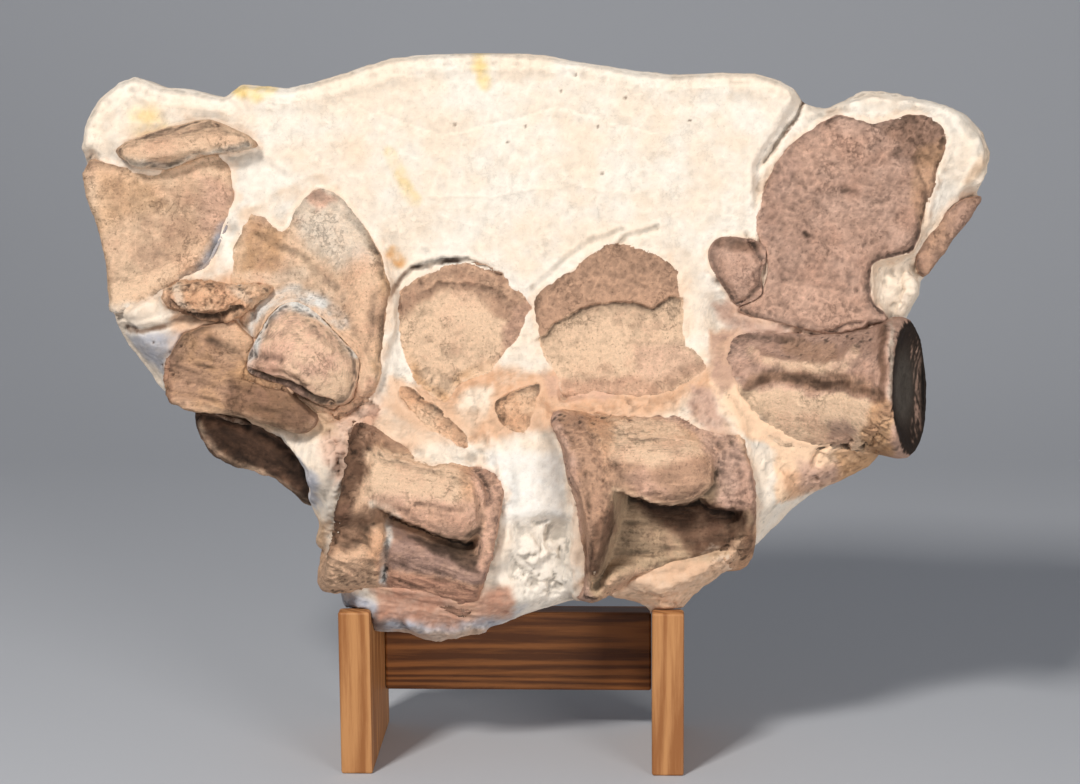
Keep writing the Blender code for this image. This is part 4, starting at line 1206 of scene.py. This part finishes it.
def block_piece(name, mesh, pose, trees):
    """A piece of the block with a fine, worn and painted surface in place of its solid."""
    is_matrix = name == "matrix"
    mesh = remeshed(mesh, COARSE_VOXEL, 1)
    points, normals = coordinates(mesh), normals_of(mesh)
    facing = smooth((normals[:, 2] - 0.3) / 0.35)
    points[:, 2] += facing * (levelled(points, facing, FACET_REACH, 2.2) - points[:, 2])
    if is_matrix:
        to_bone = surface_distance(points, trees["bones"])
        points[:, 2] += squared_rim(points, normals) * smooth((to_bone - 1) / 7)
        trees["ground"] = ground_of(points, facing)
        deep = surface_distance(points, trees["matrix"]) - to_bone
        covered = smooth((deep - 1.5 + RAGGED * fractal(points, 10, 4, 11, 0.65)) / 1.5)
        clinging = smooth(1.8 - to_bone) * (1 - covered)
    points[:, 2] += made_flush(points, normals, trees["ground"])
    points = broad_relief(points, facing, is_matrix)
    points += normals * (0.9 * fractal(points, 22, 3, 8))[:, None]
    if is_matrix:
        apart = smooth(to_bone / 14)
        points += normals * (CLINGS * clinging - BURIED * covered)[:, None]
        points += normals * (apart * (fractal(points, 60, 3, 5) + 0.5 * broken(points, 36, 3)))[:, None]
    put_coordinates(mesh, points)
    mesh = remeshed(mesh, MATRIX_VOXEL if is_matrix else BONE_VOXEL, 1)
    worn, points, normals = points, coordinates(mesh), normals_of(mesh)
    facing = smooth((normals[:, 2] - 0.05) / 0.3)
    edge = surface_distance(points, trees["bones" if is_matrix else "matrix"])
    move = fine_relief(points, facing)
    move += ROUGH.get(name, 0.45) * (fractal(points, 5, 3, 48, 0.7) + 0.5 * ridged(points, 8, 3, 52))
    if is_matrix:
        covered = carried(covered, worn, points)
        move = move * (1 - covered) + (np.minimum(move, 0) - CLINGS) * covered
    points += normals * move[:, None]
    put_coordinates(mesh, points)
    normals = normals_of(mesh)
    paint_attribute(mesh, painted(name, points, normals, edge))
    mesh.transform(pose)
    low, high = CAD_BOX
    put_coordinates(mesh, np.clip(coordinates(mesh), low, high))
    mesh.shade_smooth()
    piece = bpy.data.objects.new(name + "_surface", mesh)
    bpy.context.scene.collection.objects.link(piece)
    angle, streak = STREAKS.get(name, (0, 0 if is_matrix else 0.05))
    contrast, bump = (0.07, 0.4) if is_matrix else (0.19, 0.7)
    stone = rock_material(name + "_stone", math.radians(angle), streak, contrast, bump)
    mesh.materials.clear()
    mesh.materials.append(stone)
    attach(piece, "root")
    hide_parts(name)


def wood_material(name, light, dark, grain_scale):
    """Oiled pine: broad growth bands and fine fibres along the grain."""
    material, tree, shader = new_material(name)
    shader.inputs["Specular IOR Level"].default_value = 0.35
    place = tree.nodes.new("ShaderNodeTexCoord").outputs["Object"]
    swirl = noise_node(tree, mapped(tree, place, grain_scale), 22, 2, 0.4)
    rings = calculated(tree, "MULTIPLY", swirl, 95)
    bands = calculated(tree, "SINE", rings, 0)
    fibre = noise_node(tree, mapped(tree, place, grain_scale), 420, 5, 0.7)
    cast = calculated(tree, "ADD", calculated(tree, "MULTIPLY", bands, 0.22), fibre)
    ramp = tree.nodes.new("ShaderNodeValToRGB")
    ramp.color_ramp.elements[0].position = 0.28
    ramp.color_ramp.elements[0].color = (*linear(dark), 1)
    ramp.color_ramp.elements[1].position = 0.72
    ramp.color_ramp.elements[1].color = (*linear(light), 1)
    tree.links.new(cast, ramp.inputs["Fac"])
    tree.links.new(ramp.outputs["Color"], shader.inputs["Base Color"])
    tree.links.new(ranged(tree, fibre, 0.42, 0.6), shader.inputs["Roughness"])
    bumped(tree, shader, cast, 0.12, 0.0008)
    return material


def dress_stand():
    """Gives the stand's solids their pine, with the grain along each board."""
    upright = wood_material("upright_pine", *UPRIGHT_PINE, (1, 1, 0.05))
    cross = wood_material("rail_pine", *RAIL_PINE, (0.05, 1, 1))
    for name in ("stand_left_board", "stand_right_board", "stand_rail"):
        node = frame["nodes"][name]
        wood = cross if name == "stand_rail" else upright
        for slot in node.material_slots:
            slot.link = "OBJECT"
            slot.material = wood


def add_camera():
    back = Vector((
        math.sin(CAMERA_AZIMUTH) * math.cos(CAMERA_ELEVATION),
        -math.cos(CAMERA_AZIMUTH) * math.cos(CAMERA_ELEVATION),
        math.sin(CAMERA_ELEVATION),
    ))
    camera = bpy.data.objects.new("camera", bpy.data.cameras.new("camera"))
    bpy.context.scene.collection.objects.link(camera)
    camera.data.lens = CAMERA_LENS
    camera.data.sensor_width = SENSOR_WIDTH
    camera.rotation_mode = "QUATERNION"
    camera.location = CAMERA_AIM + back * CAMERA_DISTANCE
    turn = Matrix.Rotation(CAMERA_ROLL, 3, "Z").to_quaternion()
    camera.rotation_quaternion = back.to_track_quat("Z", "Y") @ turn
    bpy.context.scene.camera = camera


def add_light(name, place, size, power, colour):
    data = bpy.data.lights.new(name, "AREA")
    data.energy = power
    data.size = size
    data.color = colour
    light = bpy.data.objects.new(name, data)
    light.location = place
    light.rotation_euler = (LIGHT_AIM - light.location).to_track_quat("-Z", "Y").to_euler()
    bpy.context.scene.collection.objects.link(light)


def add_backdrop():
    """A pale sweep: a level floor that turns up in one curve behind the specimen."""
    profile = [(SWEEP_FRONT, 0), (SWEEP_BEND, 0)]
    for step in range(1, SWEEP_STEPS + 1):
        turn = math.radians(90 * step / SWEEP_STEPS)
        back, up = SWEEP_RADIUS * math.sin(turn), SWEEP_RADIUS * (1 - math.cos(turn))
        profile.append((SWEEP_BEND + back, up))
    profile.append((SWEEP_BEND + SWEEP_RADIUS, SWEEP_TOP))
    places = [(x, y, z) for x in (-SWEEP_SIDE, SWEEP_SIDE) for y, z in profile]
    count = len(profile)
    faces = [(i, i + 1, count + i + 1, count + i) for i in range(count - 1)]
    mesh = bpy.data.meshes.new("backdrop")
    mesh.from_pydata(places, [], faces)
    mesh.shade_smooth()
    backdrop = bpy.data.objects.new("backdrop", mesh)
    bpy.context.scene.collection.objects.link(backdrop)
    material, _, shader = new_material("backdrop_paper")
    shader.inputs["Base Color"].default_value = (*linear(BACKDROP_GREY), 1)
    shader.inputs["Roughness"].default_value = 0.9
    mesh.materials.append(material)


def add_studio():
    add_backdrop()
    world = bpy.data.worlds.new("studio")
    world.use_nodes = True
    background = world.node_tree.nodes["Background"]
    background.inputs["Color"].default_value = WORLD_COLOUR
    background.inputs["Strength"].default_value = WORLD_STRENGTH
    bpy.context.scene.world = world
    for name, light in LIGHTS.items():
        add_light(name, *light)
    bpy.context.scene.view_settings.view_transform = "Standard"


def build():
    add_camera()
    add_studio()
    dress_stand()
    pose = block_pose()
    slots = {entry["node"]: entry["material_slot"] for entry in frame["record"]["subparts"]}
    names = [name for name in slots if slots[name] != "stand_wood"]
    solids = {name: flat_mesh(name, pose) for name in names}
    bones = joined([solids[name] for name in names if name != "matrix"])
    trees = {}
    for key, mesh in (("matrix", solids["matrix"]), ("bones", bones)):
        trees[key] = BVHTree.FromPolygons(
            [v.co for v in mesh.vertices], [tuple(p.vertices) for p in mesh.polygons]
        )
    for name in names:
        mesh = joined([solids["matrix"], bones]) if name == "matrix" else solids[name]
        block_piece(name, mesh, pose, trees)


build()
